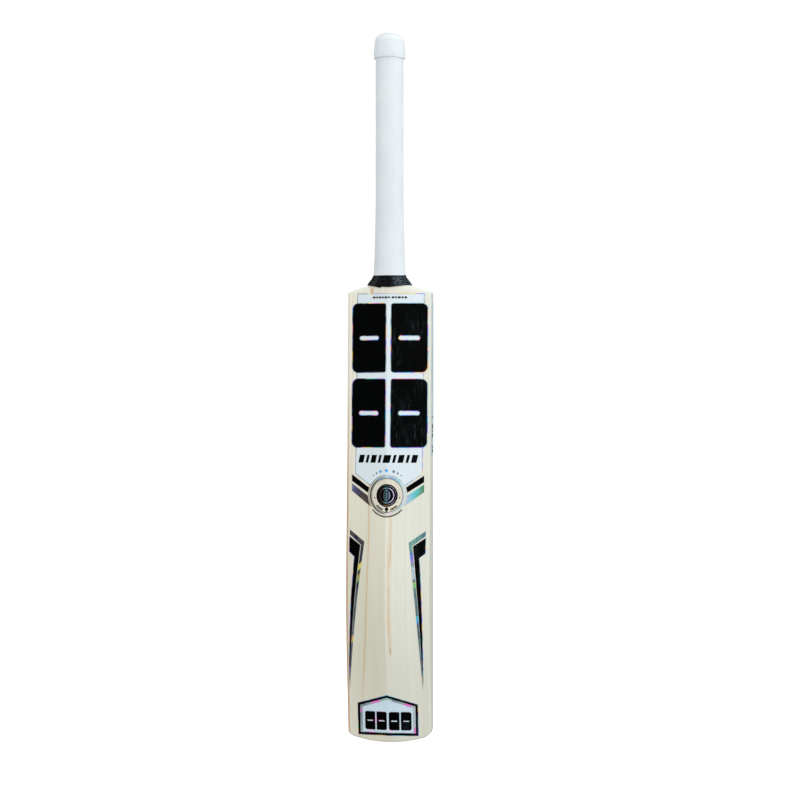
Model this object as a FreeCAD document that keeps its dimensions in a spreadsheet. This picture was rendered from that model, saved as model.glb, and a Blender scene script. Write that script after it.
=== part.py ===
import FreeCAD, Part
import math
import os
import Sketcher

# A cricket bat standing on its toe.  Origin: under the middle of the blade, level with the lowest point of
# the toe.  +Z runs up the bat to the top of the handle, +X runs across the blade, and the flat hitting face
# looks along +Y.  The ridged back looks along -Y.

SIZES = {
    # whole bat
    "bat_length": 870.0,
    "blade_width": 103.4,
    "face_plane": 30.0,
    "handle_axis": 9.0,
    # outline of the blade, seen square to its face
    "toe_radius": 165.0,
    "toe_left_corner_radius": 9.0,
    "toe_right_corner_radius": 13.0,
    "shoulder_height": 552.0,
    "shoulder_corner_radius": 3.0,
    "shoulder_root_half": 30.0,
    "shoulder_root_height": 558.6,
    "neck_start": 540.0,
    "neck_step": 6.0,
    # evenly spaced cross-sections of the blade
    "section_start": -15.0,
    "section_step": 60.0,
    # rounding of the long edges
    "face_edge_radius": 4.0,
    "back_edge_radius": 3.0,
    # construction solids reach past the blade by this much
    "form_overhang": 3.0,
    "form_depth": 80.0,
    # V splice of the handle in the blade
    "splice_tip_height": 415.0,
    "splice_tip_half": 2.0,
    "splice_top_half": 55.0,
    # laminated cane handle
    "cane_reach": 40.0,
    "cane_half_width": 4.9,
    "spring_thickness": 1.6,
    "spring_pitch": 8.0,
    "cane_top": 864.5,
    # coverings of the handle
    "twine_thickness": 0.6,
    "twine_bottom": 576.0,
    "twine_top": 861.0,
    "grip_wall": 1.3,
    "grip_bottom": 572.0,
    "grip_top": 863.0,
    "ring_bottom": 838.5,
    "ring_foot_radius": 19.5,
    "ring_body_radius": 18.2,
    "ring_waist_height": 853.0,
    "ring_lip_radius": 8.0,
    "ring_round_radius": 8.5,
    "tape_thickness": 1.0,
    "tape_bottom": 556.0,
    "tape_top": 575.0,
    # printed stickers on the back and on the edges
    "decal_thickness": 0.25,
    "block_thickness": 0.45,
    "label_half": 40.8,
    "label_aside": 1.2,
    "label_lean": 1.2,
    "label_top": 549.5,
    "label_corner": 330.0,
    "label_foot_half": 21.0,
    "label_foot": 316.0,
    "block_half": 46.4,
    "block_aside": 1.4,
    "block_radius": 7.0,
    "upper_block_top": 537.7,
    "upper_block_bottom": 453.7,
    "lower_block_top": 445.3,
    "lower_block_bottom": 362.0,
    "roundel_height": 303.5,
    "roundel_radius": 25.0,
    "roundel_half": 23.6,
    "roundel_aside": 0.8,
    "roundel_clearance": 0.2,
    "chevron_clearance": 0.8,
    "chevron_inner": 15.0,
    "chevron_outer": 44.7,
    "flash_outer": 47.0,
    "flash_lean": 1.5,
    "stripe_tilt": 1.5,
    "toe_label_apex": 58.5,
    "toe_label_shoulder": 47.4,
    "toe_label_bottom": 9.0,
    "toe_label_half": 37.0,
    "toe_label_aside": -1.0,
    "toe_label_tilt": 0.4,
    "edge_label_bottom": 352.0,
    "edge_label_top": 540.0,
    "edge_label_front": 25.5,
    "edge_label_back_low": 6.5,
    "edge_label_back_high": 11.5,
}

# Blade thickness at evenly spaced heights, from just below the toe to just above the shoulders: thickness at
# the edges, thickness at the spine.
STATIONS = {
    "below_toe": (20.0, 22.5),
    "toe": (26.0, 34.5),
    "toe_rise": (33.5, 50.0),
    "swell": (37.8, 59.8),
    "high_swell": (36.8, 57.5),
    "roundel": (33.2, 51.5),
    "middle": (30.0, 46.8),
    "upper": (27.4, 43.2),
    "high": (25.2, 40.6),
    "shoulder": (23.2, 38.4),
    "above_shoulder": (21.3, 36.2),
}

# Wooden neck, from inside the blade up to the round handle, at evenly spaced heights: half width, half depth.
NECK = {
    "root": (23.5, 12.6),
    "rise": (25.6, 14.6),
    "swell": (26.9, 16.0),
    "skirt": (27.8, 16.9),
    "flare": (24.7, 17.6),
    "throat": (20.5, 18.0),
    "collar": (17.9, 17.9),
    "seat": (17.1, 17.1),
    "waist": (16.7, 16.7),
    "tail": (16.5, 16.5),
    "lead": (16.4, 16.4),
}

# Turned handle above the neck: height and radius of the wood.
SHAFT = {
    "foot": (590.0, 16.2),
    "taper": (612.0, 16.25),
    "slim": (636.0, 15.65),
    "start": (660.0, 15.2),
}

# Chevron stripes, that rise outwards from the badge: heights of the lower side at its inner and outer end,
# then of the upper side.
CHEVRONS = {
    "black": {"inner_low": 300.5, "outer_low": 320.0, "inner_high": 307.5, "outer_high": 328.0},
    "foil": {"inner_low": 286.0, "outer_low": 308.0, "inner_high": 296.5, "outer_high": 317.0},
}

# Flashes on the lower blade: a short arm comes in from the side of the blade to an elbow, and a long tail
# runs down and out from there to a tip.  bow and inner_bow: how far the tail's two sides curve outwards.
FLASHES = {
    "foil": {"outer_high": 260.5, "outer_low": 254.5, "elbow_half": 27.5, "elbow_height": 246.5,
             "inner_half": 31.5, "inner_height": 242.5, "tip_half": 45.5, "tip_height": 66.0,
             "bow": 1.1, "inner_bow": 1.8},
    "black": {"outer_high": 252.0, "outer_low": 233.5, "elbow_half": 32.5, "elbow_height": 242.0,
              "inner_half": 40.0, "inner_height": 227.5, "tip_half": 45.5, "tip_height": 73.0,
              "bow": 1.5, "inner_bow": 1.6},
}

# Straight pieces that stand for one curved side of a flash.
CURVE_STEPS = 8

CANE_ROWS = ("back", "inner_back", "inner_face", "face")
CANE_COLUMNS = ("left", "middle", "right")

document = FreeCAD.newDocument("cricket_bat")
sheet = document.addObject("Spreadsheet::Sheet", "sizes")


def fill_sheet():
    """Write every driving dimension into the sheet, one row each, with its alias."""
    cells = dict(SIZES)
    for name, (edge, spine) in STATIONS.items():
        cells["edge_" + name] = edge
        cells["spine_" + name] = spine
    for name, (half_width, half_depth) in NECK.items():
        cells["neck_width_" + name] = half_width
        cells["neck_depth_" + name] = half_depth
    for name, (height, radius) in SHAFT.items():
        cells["shaft_height_" + name] = height
        cells["shaft_radius_" + name] = radius
    for kind, stickers in (("chevron", CHEVRONS), ("flash", FLASHES)):
        for name, sizes in stickers.items():
            for part, value in sizes.items():
                cells[f"{kind}_{name}_{part}"] = value
    for row, (alias, value) in enumerate(cells.items(), start=1):
        sheet.set(f"A{row}", alias)
        sheet.set(f"B{row}", str(value))
        sheet.setAlias(f"B{row}", alias)
    document.recompute()


def origin_plane(body, role):
    """The body's own origin plane with this role."""
    for feature in body.Origin.OriginFeatures:
        if feature.Role == role:
            return feature
    raise ValueError(role)


def new_sketch(body, name, role, across="0", up="0", out="0"):
    """A sketch on one of the body's origin planes, moved by the given expressions in its own axes."""
    sketch = body.newObject("Sketcher::SketchObject", name)
    sketch.AttachmentSupport = [(origin_plane(body, role), "")]
    sketch.MapMode = "FlatFace"
    sketch.setExpression("AttachmentOffset.Base.x", across)
    sketch.setExpression("AttachmentOffset.Base.y", up)
    sketch.setExpression("AttachmentOffset.Base.z", out)
    return sketch


def pin_point(sketch, geometry, vertex, across, up):
    """Hold one sketch point at the given expressions, measured from the sketch's origin."""
    for kind, expression in (("DistanceX", across), ("DistanceY", up)):
        index = sketch.addConstraint(Sketcher.Constraint(kind, -1, 1, geometry, vertex, 1.0))
        sketch.setExpression(f"Constraints[{index}]", expression)


def draw_outline(sketch, corners):
    """A closed run of straight lines through corners given as pairs of expressions."""
    count = len(corners)
    turn = 2.0 * math.pi / count
    start = [FreeCAD.Vector(math.cos(turn * i), math.sin(turn * i), 0) for i in range(count)]
    for i in range(count):
        sketch.addGeometry(Part.LineSegment(start[i], start[(i + 1) % count]), False)
    for i in range(count):
        sketch.addConstraint(Sketcher.Constraint("Coincident", i, 2, (i + 1) % count, 1))
    for i, (across, up) in enumerate(corners):
        pin_point(sketch, i, 1, across, up)


def new_body(name):
    return document.addObject("PartDesign::Body", name)


def pad(body, sketch, length):
    """Pad a sketch along its normal by the length expression."""
    feature = body.newObject("PartDesign::Pad", sketch.Name + "_pad")
    feature.Profile = sketch
    feature.setExpression("Length", length)
    return feature


def outline_prism(name, corners):
    """A prism through the back of the blade, from an outline drawn square to the face."""
    body = new_body(name)
    sketch = new_sketch(body, name + "_outline", "XZ_Plane", out="-sizes.handle_axis - 8")
    draw_outline(sketch, corners)
    pad(body, sketch, "sizes.form_depth")
    return body


def turned(name, corners):
    """A solid turned about the handle's axis, from corners given as radius and height expressions."""
    body = new_body(name)
    sketch = new_sketch(body, name + "_profile", "YZ_Plane", across="sizes.handle_axis")
    draw_outline(sketch, corners)
    feature = body.newObject("PartDesign::Revolution", name + "_turning")
    feature.Profile = sketch
    feature.ReferenceAxis = (sketch, ["V_Axis"])
    feature.Angle = 360.0
    return body


def combine(kind, name, shapes):
    """Part::MultiCommon or Part::MultiFuse of several objects."""
    result = document.addObject(kind, name)
    result.Shapes = shapes
    return result


def subtract(name, base, tool):
    result = document.addObject("Part::Cut", name)
    result.Base = base
    result.Tool = tool
    return result


def thickness_form(name, stand_off):
    """Loft with the ridged back; stand_off moves the back outwards by that expression."""
    body = new_body(name)
    sketches = []
    half = "(sizes.blade_width / 2 + sizes.form_overhang)"
    spread = f"{half} / (sizes.blade_width / 2)"
    for number, station in enumerate(STATIONS):
        sketch = new_sketch(body, f"{name}_{station}", "XY_Plane", up="sizes.face_plane",
                            out=f"sizes.section_start + {number} * sizes.section_step")
        spine = f"sizes.spine_{station}"
        edge = f"({spine} + (sizes.edge_{station} - {spine}) * {spread})"
        draw_outline(sketch, [
            (half, "sizes.form_overhang"),
            ("-" + half, "sizes.form_overhang"),
            ("-" + half, f"-{edge} - {stand_off}"),
            ("0", f"-{spine} - {stand_off}"),
            (half, f"-{edge} - {stand_off}"),
        ])
        sketches.append(sketch)
    loft = body.newObject("PartDesign::AdditiveLoft", name + "_loft")
    loft.Profile = sketches[0]
    loft.Sections = sketches[1:]
    loft.Ruled = False
    loft.Closed = False
    return body


def front_form():
    """Outline of the blade: straight sides, a bowed toe and sloping shoulders."""
    body = new_body("front_form")
    sketch = new_sketch(body, "front_outline", "XZ_Plane", out="-sizes.face_plane")
    half_width = SIZES["blade_width"] / 2
    toe_radius = SIZES["toe_radius"]
    toe_edge = toe_radius - math.sqrt(toe_radius ** 2 - half_width ** 2)
    shoulder = SIZES["shoulder_height"]
    root_half = SIZES["shoulder_root_half"]
    root_height = SIZES["shoulder_root_height"]
    corners = [(half_width, toe_edge), (half_width, shoulder), (root_half, root_height),
               (-root_half, root_height), (-half_width, shoulder), (-half_width, toe_edge)]
    points = [FreeCAD.Vector(across, up, 0) for across, up in corners]
    for first, second in zip(points, points[1:]):
        sketch.addGeometry(Part.LineSegment(first, second), False)
    toe_arc = sketch.addGeometry(Part.Arc(points[-1], FreeCAD.Vector(0, 0, 0), points[0]), False)
    for line in range(toe_arc - 1):
        sketch.addConstraint(Sketcher.Constraint("Coincident", line, 2, line + 1, 1))
    sketch.addConstraint(Sketcher.Constraint("Coincident", toe_arc - 1, 2, toe_arc, 1))
    sketch.addConstraint(Sketcher.Constraint("Coincident", toe_arc, 2, 0, 1))
    sketch.addConstraint(Sketcher.Constraint("Vertical", 0))
    sketch.addConstraint(Sketcher.Constraint("Vertical", toe_arc - 1))
    radius = sketch.addConstraint(Sketcher.Constraint("Radius", toe_arc, toe_radius))
    sketch.setExpression(f"Constraints[{radius}]", "sizes.toe_radius")
    pin_point(sketch, toe_arc, 3, "0", "sizes.toe_radius")
    pin_point(sketch, 1, 1, "sizes.blade_width / 2", "sizes.shoulder_height")
    pin_point(sketch, 2, 1, "sizes.shoulder_root_half", "sizes.shoulder_root_height")
    pin_point(sketch, 3, 1, "-sizes.shoulder_root_half", "sizes.shoulder_root_height")
    pin_point(sketch, 4, 1, "-sizes.blade_width / 2", "sizes.shoulder_height")
    pad(body, sketch, "sizes.form_depth")
    return body


def find_edges(shape, wanted):
    """Names of the edges for which wanted(edge) holds."""
    return [f"Edge{i}" for i, edge in enumerate(shape.Edges, start=1) if wanted(edge)]


def round_edges(body, base, name, wanted, radius):
    """PartDesign fillet of the chosen edges with the radius expression."""
    document.recompute()
    feature = body.newObject("PartDesign::Fillet", name)
    feature.Base = (base, find_edges(base.Shape, wanted))
    feature.setExpression("Radius", radius)
    document.recompute()
    return feature


def runs_along_y(edge):
    first, last = edge.Vertexes[0].Point, edge.Vertexes[-1].Point
    return (last - first).Length > 1 and abs(abs((last - first).y) - (last - first).Length) < 1e-6


def blade_form():
    """The blade before the splice is cut: outline and thickness in common, with its edges rounded."""
    front = front_form()
    half_width = SIZES["blade_width"] / 2
    document.recompute()

    def at_toe(edge):
        return runs_along_y(edge) and edge.BoundBox.ZMax < 30

    left_corner = round_edges(
        front, front.Tip, "toe_left_corner",
        lambda edge: at_toe(edge) and edge.BoundBox.XMax < 0, "sizes.toe_left_corner_radius")
    right_corner = round_edges(
        front, left_corner, "toe_right_corner",
        lambda edge: at_toe(edge) and edge.BoundBox.XMin > half_width - 1e-3,
        "sizes.toe_right_corner_radius")
    round_edges(
        front, right_corner, "shoulder_corners",
        lambda edge: runs_along_y(edge) and abs(edge.BoundBox.ZMax - SIZES["shoulder_height"]) < 1,
        "sizes.shoulder_corner_radius")
    envelope = combine("Part::MultiCommon", "blade_envelope", [front, thickness_form("back_form", "0")])
    document.recompute()
    body = new_body("blade_rounded")
    body.BaseFeature = envelope
    document.recompute()

    def on_face(edge):
        box = edge.BoundBox
        return min(abs(box.YMin - SIZES["face_plane"]), box.YMax - box.YMin) < 1e-4 and box.YMin > 20

    def on_back(edge):
        box = edge.BoundBox
        ridge = box.XMax - box.XMin < 1e-3 and abs(box.XMax) < 1e-3
        neck_top = box.ZMin > SIZES["shoulder_root_height"] - 1e-3
        return box.YMax < SIZES["face_plane"] - 15 and not ridge and not neck_top

    face_rounded = round_edges(body, body.Tip, "face_edges", on_face, "sizes.face_edge_radius")
    round_edges(body, face_rounded, "back_edges", on_back, "sizes.back_edge_radius")
    return body


def neck_height(station):
    """Expression for the height of one section of the neck."""
    return f"sizes.neck_start + {list(NECK).index(station)} * sizes.neck_step"


def neck_loft(name, growth):
    """Loft of ellipses from inside the blade up to the round handle, larger all round by growth."""
    ellipses = []
    for station in NECK:
        ellipse = document.addObject("Part::Ellipse", f"{name}_{station}")
        ellipse.setExpression("MajorRadius", f"sizes.neck_width_{station} + {growth}")
        ellipse.setExpression("MinorRadius", f"sizes.neck_depth_{station} + {growth}")
        ellipse.setExpression("Placement.Base.y", "sizes.handle_axis")
        ellipse.setExpression("Placement.Base.z", neck_height(station))
        ellipses.append(ellipse)
    loft = document.addObject("Part::Loft", name)
    loft.Sections = ellipses
    loft.Solid = True
    loft.Ruled = False
    return loft


def shaft_corners(growth, foot, top):
    """Profile of the turned handle above its foot corners, larger by growth, as expressions."""
    corners = list(foot)
    for station in ("taper", "slim", "start"):
        corners.append((f"sizes.shaft_radius_{station} + {growth}", f"sizes.shaft_height_{station}"))
    corners.append((f"sizes.shaft_radius_start + {growth}", top))
    corners.append(("0", top))
    return corners


def sleeve_corners(growth, bottom, bottom_radius, top):
    """Profile of a sleeve that follows the neck and the handle from bottom to top."""
    foot = [("0", bottom), (bottom_radius, bottom)]
    for station in ("seat", "lead"):
        foot.append((f"sizes.neck_width_{station} + {growth}", neck_height(station)))
    return shaft_corners(growth, foot, top)


def splice_wedge():
    """V prism through the whole thickness; it opens upwards until it holds the whole handle."""
    body = new_body("splice_wedge")
    sketch = new_sketch(body, "splice_outline", "XZ_Plane", out="-sizes.face_plane - 10")
    top = "sizes.bat_length + 5"
    draw_outline(sketch, [
        ("sizes.splice_tip_half", "sizes.splice_tip_height"),
        ("sizes.splice_top_half", top),
        ("-sizes.splice_top_half", top),
        ("-sizes.splice_tip_half", "sizes.splice_tip_height"),
    ])
    pad(body, sketch, "sizes.form_depth")
    return body


def slab(name, left, right, back, front):
    """A box over the handle's whole height, between expressions for its X and Y limits."""
    box = document.addObject("Part::Box", name)
    box.setExpression("Length", f"{right} - ({left})")
    box.setExpression("Width", f"{front} - ({back})")
    box.setExpression("Height", "sizes.bat_length")
    box.setExpression("Placement.Base.x", left)
    box.setExpression("Placement.Base.y", back)
    box.setExpression("Placement.Base.z", "sizes.splice_tip_height - 50")
    return box


def cane_and_springs(handle_wood):
    """Twelve cane strips in four layers of three, with a rubber spring strip between the layers."""
    reach = "sizes.cane_reach"
    half_spring = "sizes.spring_thickness / 2"
    layers = [f"sizes.handle_axis + ({step}) * sizes.spring_pitch" for step in (-1, 0, 1)]
    backs = [f"sizes.handle_axis - {reach}"] + [f"{middle} + {half_spring}" for middle in layers]
    fronts = [f"{middle} - {half_spring}" for middle in layers] + [f"sizes.handle_axis + {reach}"]
    lefts = [f"-{reach}", "-sizes.cane_half_width", "sizes.cane_half_width"]
    rights = ["-sizes.cane_half_width", "sizes.cane_half_width", reach]
    pieces = []
    for row, back, front in zip(CANE_ROWS, backs, fronts):
        for column, left, right in zip(CANE_COLUMNS, lefts, rights):
            name = f"cane_{row}_{column}"
            cell = slab(name + "_cell", left, right, back, front)
            pieces.append(combine("Part::MultiCommon", name, [handle_wood, cell]))
    for number, middle in enumerate(layers, start=1):
        name = f"rubber_spring_{number}"
        back, front = f"{middle} - {half_spring}", f"{middle} + {half_spring}"
        cell = slab(name + "_cell", f"-{reach}", reach, back, front)
        pieces.append(combine("Part::MultiCommon", name, [handle_wood, cell]))
    return pieces


def grip_and_ring(wood, twine_solid, tape):
    """Rubber grip sleeve over the bound handle, and the thicker end ring over the top of the sleeve."""
    wall = "sizes.twine_thickness + sizes.grip_wall"
    grip_solid = turned("grip_solid", sleeve_corners(
        wall, "sizes.grip_bottom", f"sizes.neck_width_collar + {wall}", "sizes.grip_top"))
    inside = combine("Part::MultiFuse", "grip_core", [wood, twine_solid, tape])
    grip = subtract("grip", grip_solid, inside)
    ring_solid = turned("ring_solid", [
        ("0", "sizes.ring_bottom"),
        ("sizes.ring_foot_radius", "sizes.ring_bottom"),
        ("sizes.ring_body_radius", "sizes.ring_waist_height"),
        ("sizes.ring_body_radius", "sizes.bat_length"),
        ("sizes.ring_lip_radius", "sizes.bat_length"),
        ("sizes.ring_lip_radius", "sizes.cane_top"),
        ("0", "sizes.cane_top"),
    ])
    document.recompute()

    def outer_rim(edge):
        box = edge.BoundBox
        return (box.ZMin > SIZES["bat_length"] - 1e-3
                and abs(box.XMax - SIZES["ring_body_radius"]) < 1e-3)

    round_edges(ring_solid, ring_solid.Tip, "ring_rim", outer_rim, "sizes.ring_round_radius")
    ring_core = combine("Part::MultiFuse", "ring_core", [grip_solid, inside])
    ring = subtract("grip_end_ring", ring_solid, ring_core)
    return [grip, ring]


def collar_tape(wood):
    """Black tape wound over the neck, where the blade runs into the handle."""
    outer = neck_loft("tape_loft", "sizes.tape_thickness")
    band = document.addObject("Part::Box", "tape_band")
    reach = "sizes.blade_width"
    band.setExpression("Length", reach)
    band.setExpression("Width", reach)
    band.setExpression("Height", "sizes.tape_top - sizes.tape_bottom")
    band.setExpression("Placement.Base.x", f"-{reach} / 2")
    band.setExpression("Placement.Base.y", f"sizes.handle_axis - {reach} / 2")
    band.setExpression("Placement.Base.z", "sizes.tape_bottom")
    wound = combine("Part::MultiCommon", "tape_wound", [outer, band])
    return subtract("collar_tape", wound, wood)


def rounded_block(name, bottom, top):
    """Prism for one of the large printed blocks, with rounded corners."""
    right = "sizes.block_aside + sizes.block_half"
    left = "sizes.block_aside - sizes.block_half"
    prism = outline_prism(name, [(right, bottom), (right, top), (left, top), (left, bottom)])
    document.recompute()
    round_edges(prism, prism.Tip, name + "_corners", runs_along_y, "sizes.block_radius")
    return prism


def roundel_disc(name, margin):
    """Prism through the back of the blade behind the badge, wider all round by margin.  The badge is a round
    sticker that bends over the ridge, so seen square to the blade it is a little narrower than it is high."""
    outline = document.addObject("Part::Ellipse", name + "_outline")
    outline.setExpression("MajorRadius", f"sizes.roundel_radius + {margin}")
    outline.setExpression("MinorRadius", f"sizes.roundel_half + {margin}")
    across, away, up = FreeCAD.Vector(1, 0, 0), FreeCAD.Vector(0, 1, 0), FreeCAD.Vector(0, 0, 1)
    outline.Placement = FreeCAD.Placement(FreeCAD.Vector(0, 0, 0), FreeCAD.Rotation(up, across, away, "XZY"))
    outline.setExpression("Placement.Base.x", "sizes.roundel_aside")
    outline.setExpression("Placement.Base.y", "sizes.handle_axis + 8")
    outline.setExpression("Placement.Base.z", "sizes.roundel_height")
    disc = document.addObject("Part::Extrusion", name)
    disc.Base = outline
    disc.DirMode = "Custom"
    disc.Dir = FreeCAD.Vector(0, -1, 0)
    disc.setExpression("LengthFwd", "sizes.form_depth")
    disc.Solid = True
    return disc


def chevron_corners(name):
    """Outline of one chevron stripe, as distances from the middle of the blade and heights."""
    inner, outer, size = "sizes.chevron_inner", "sizes.chevron_outer", f"sizes.chevron_{name}"
    return [(inner, size + "_inner_low"), (outer, size + "_outer_low"), (outer, size + "_outer_high"),
            (inner, size + "_inner_high")]


def bowed(start, end, bow):
    """Corners between two others, on a shallow curve that stands outwards by bow half-way."""
    between = []
    for step in range(1, CURVE_STEPS):
        share = step / CURVE_STEPS
        across = f"({start[0]} + ({end[0]} - {start[0]}) * {share} + {bow} * {4 * share * (1 - share)})"
        up = f"({start[1]} + ({end[1]} - {start[1]}) * {share})"
        between.append((across, up))
    return between


def flash_corners(name):
    """Outline of one flash, as distances from the middle of the blade and heights."""
    outer, size = "sizes.flash_outer", f"sizes.flash_{name}"
    elbow = (size + "_elbow_half", size + "_elbow_height")
    inner = (size + "_inner_half", size + "_inner_height")
    tip = (size + "_tip_half", size + "_tip_height")
    arm_top, arm_foot = (outer, size + "_outer_high"), (outer, size + "_outer_low")
    tail = bowed(elbow, tip, size + "_bow") + [tip] + bowed(tip, inner, size + "_inner_bow")
    return [arm_top, elbow] + tail + [inner, arm_foot]


def on_side(corners, sign, lean="0"):
    """The corners on one side of the blade.  The stickers are a little askew: over 100 mm across they drop by
    the tilt, and over 100 mm up from the flashes' elbow they go aside by the lean."""
    pivot = "sizes.flash_foil_elbow_height"
    return [(f"{sign} * {across} + {lean} * ({up} - {pivot}) / 100",
             f"{up} - {sign} * {across} * sizes.stripe_tilt / 100") for across, up in corners]


def back_skin(name, thickness):
    """Thin sheet that lies all over the ridged back."""
    form = thickness_form(name + "_form", thickness)
    return subtract(name, form, document.getObject("back_form"))


def back_decals():
    """Printed stickers on the back: each is its outline's share of a thin sheet over the ridged back."""
    skin = back_skin("decal_skin", "sizes.decal_thickness")
    block_skin = back_skin("block_skin", "sizes.block_thickness")
    decals = []

    def stick(name, prism):
        decals.append(combine("Part::MultiCommon", name, [skin, prism]))

    stick("roundel_badge", roundel_disc("roundel_prism", "0"))
    middle, top_middle = "sizes.label_aside", "sizes.label_aside + sizes.label_lean"
    panel = outline_prism("label_prism", [
        (f"{top_middle} + sizes.label_half", "sizes.label_top"),
        (f"{top_middle} - sizes.label_half", "sizes.label_top"),
        (f"{middle} - sizes.label_half", "sizes.label_corner"),
        (f"{middle} - sizes.label_foot_half", "sizes.label_foot"),
        (f"{middle} + sizes.label_foot_half", "sizes.label_foot"),
        (f"{middle} + sizes.label_half", "sizes.label_corner"),
    ])
    window = roundel_disc("label_window", "sizes.roundel_clearance")
    stick("label_panel", subtract("label_cutout", panel, window))

    # each block lies over the panel and laps past its sides onto the wood
    for level in ("upper", "lower"):
        bottom, top = f"sizes.{level}_block_bottom", f"sizes.{level}_block_top"
        prism = rounded_block(f"{level}_block_prism", bottom, top)
        sheet_piece = combine("Part::MultiCommon", f"{level}_block_sheet", [block_skin, prism])
        decals.append(subtract(f"block_decal_{level}", sheet_piece, document.getObject("label_panel")))

    middle, tilt = "sizes.toe_label_aside", "sizes.toe_label_tilt"
    toe = outline_prism("toe_label_prism", [
        (middle, "sizes.toe_label_apex"),
        (f"{middle} - sizes.toe_label_half", f"sizes.toe_label_shoulder + {tilt}"),
        (f"{middle} - sizes.toe_label_half", f"sizes.toe_label_bottom + {tilt}"),
        (f"{middle} + sizes.toe_label_half", f"sizes.toe_label_bottom - {tilt}"),
        (f"{middle} + sizes.toe_label_half", f"sizes.toe_label_shoulder - {tilt}"),
    ])
    stick("toe_label", toe)

    chevron_window = roundel_disc("chevron_window", "sizes.chevron_clearance")
    for side, sign in (("right", 1), ("left", -1)):
        for name in CHEVRONS:
            node = f"chevron_{name}_{side}"
            prism = outline_prism(node + "_prism", on_side(chevron_corners(name), sign))
            stick(node, subtract(node + "_cutout", prism, chevron_window))
        for name in FLASHES:
            node = f"flash_{name}_{side}"
            corners = on_side(flash_corners(name), sign, "sizes.flash_lean")
            stick(node, outline_prism(node + "_prism", corners))
    return decals


def edge_labels():
    """Flat stickers on the two long edges of the blade."""
    labels = []
    sides = {"edge_label_right": "sizes.blade_width / 2",
             "edge_label_left": "-sizes.blade_width / 2 - sizes.decal_thickness"}
    for name, start in sides.items():
        body = new_body(name)
        sketch = new_sketch(body, name + "_outline", "YZ_Plane", out=start)
        draw_outline(sketch, [
            ("sizes.edge_label_front", "sizes.edge_label_bottom"),
            ("sizes.edge_label_front", "sizes.edge_label_top"),
            ("sizes.edge_label_back_high", "sizes.edge_label_top"),
            ("sizes.edge_label_back_low", "sizes.edge_label_bottom"),
        ])
        pad(body, sketch, "sizes.decal_thickness")
        labels.append(body)
    return labels


def build():
    """Make every sub-part of the bat and return the finished ones."""
    fill_sheet()
    blade_solid = blade_form()
    neck = neck_loft("neck", "0")
    foot = [("0", "sizes.shaft_height_foot"), ("sizes.shaft_radius_foot", "sizes.shaft_height_foot")]
    shaft = turned("shaft", shaft_corners("0", foot, "sizes.cane_top"))
    wood = combine("Part::MultiFuse", "wood", [blade_solid, neck, shaft])
    wedge = splice_wedge()
    handle_wood = combine("Part::MultiCommon", "handle_wood", [wood, wedge])
    blade = subtract("blade", wood, wedge)
    document.recompute()
    parts = [blade] + cane_and_springs(handle_wood)

    tape = collar_tape(wood)
    twine_solid = turned("twine_solid", sleeve_corners(
        "sizes.twine_thickness", "sizes.twine_bottom",
        "sizes.neck_width_seat + 2 * sizes.twine_thickness", "sizes.twine_top"))
    twine = subtract("twine_binding", twine_solid, wood)
    parts += [tape, twine]
    parts += grip_and_ring(wood, twine_solid, tape)

    parts += back_decals()
    parts += edge_labels()
    document.recompute()
    return parts


def check(parts):
    """Stop if any object failed, or any sub-part has no valid solid."""
    for item in document.Objects:
        if "Invalid" in item.State or "Error" in item.State:
            raise RuntimeError(f"{item.Name}: {item.State}")
    for item in parts:
        shape = item.Shape
        if shape.isNull() or not shape.isValid() or shape.Volume <= 0:
            raise RuntimeError(f"{item.Name}: no valid shape")
        if len(shape.Solids) != 1:
            raise RuntimeError(f"{item.Name}: {len(shape.Solids)} solids")


def write(parts):
    os.makedirs("parts", exist_ok=True)
    for item in parts:
        item.Label = item.Name
        item.Shape.exportStep(os.path.join("parts", item.Label + ".step"))
        print(f"{item.Label}: {item.Shape.Volume:.1f} mm3")


finished = build()
check(finished)
write(finished)
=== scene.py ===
import math

import bmesh
import bpy
import numpy as np
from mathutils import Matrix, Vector, noise
from mathutils.bvhtree import BVHTree
from mathutils.geometry import delaunay_2d_cdt


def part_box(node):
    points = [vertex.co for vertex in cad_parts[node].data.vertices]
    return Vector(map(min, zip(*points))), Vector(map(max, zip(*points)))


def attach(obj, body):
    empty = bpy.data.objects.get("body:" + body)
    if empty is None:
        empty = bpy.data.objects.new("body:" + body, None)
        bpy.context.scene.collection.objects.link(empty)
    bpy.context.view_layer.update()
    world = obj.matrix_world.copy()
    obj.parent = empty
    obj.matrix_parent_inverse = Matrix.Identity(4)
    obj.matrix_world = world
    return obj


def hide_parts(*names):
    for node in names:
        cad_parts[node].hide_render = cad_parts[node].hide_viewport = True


# The looks of a cricket bat that stands on its toe with its ridged back towards -Y and its flat hitting face
# towards +Y.  Sizes are in millimetres in the frame of the CAD, and meshes are made in metres.  The sizes of
# the studio and the camera are in metres.

MM = 0.001
BODY = "root"

# The handle and its coverings are turned about a vertical axis at this y.
HANDLE_AXIS = 9.0

# Height and outer radius of the rubber grip, up to the end ring, and its end inside the ring.
GRIP_PROFILE = [(572.0, 19.8), (578.0, 19.3), (586.0, 18.9), (600.0, 18.5), (612.0, 18.15),
                (636.0, 17.55), (660.0, 17.1), (839.0, 17.1)]
GRIP_TOP = 863.0
GRIP_TOP_RADIUS = 16.8
GRIP_WALL = 1.2
GRIP_LIP = 1.5

# Ribs of the grip and the end ring: how many there are, points across each, how far they stand out, and how
# far they climb while they turn by a radian.
RIBS_AROUND = 46
COLUMNS_PER_RIB = 6
COLUMNS = RIBS_AROUND * COLUMNS_PER_RIB
RIB_HEIGHT = 0.3
RIB_CLIMB = 17.0
RING_RIB_HEIGHT = 0.26
RING_RIB_CLIMB = 18.0

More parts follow.
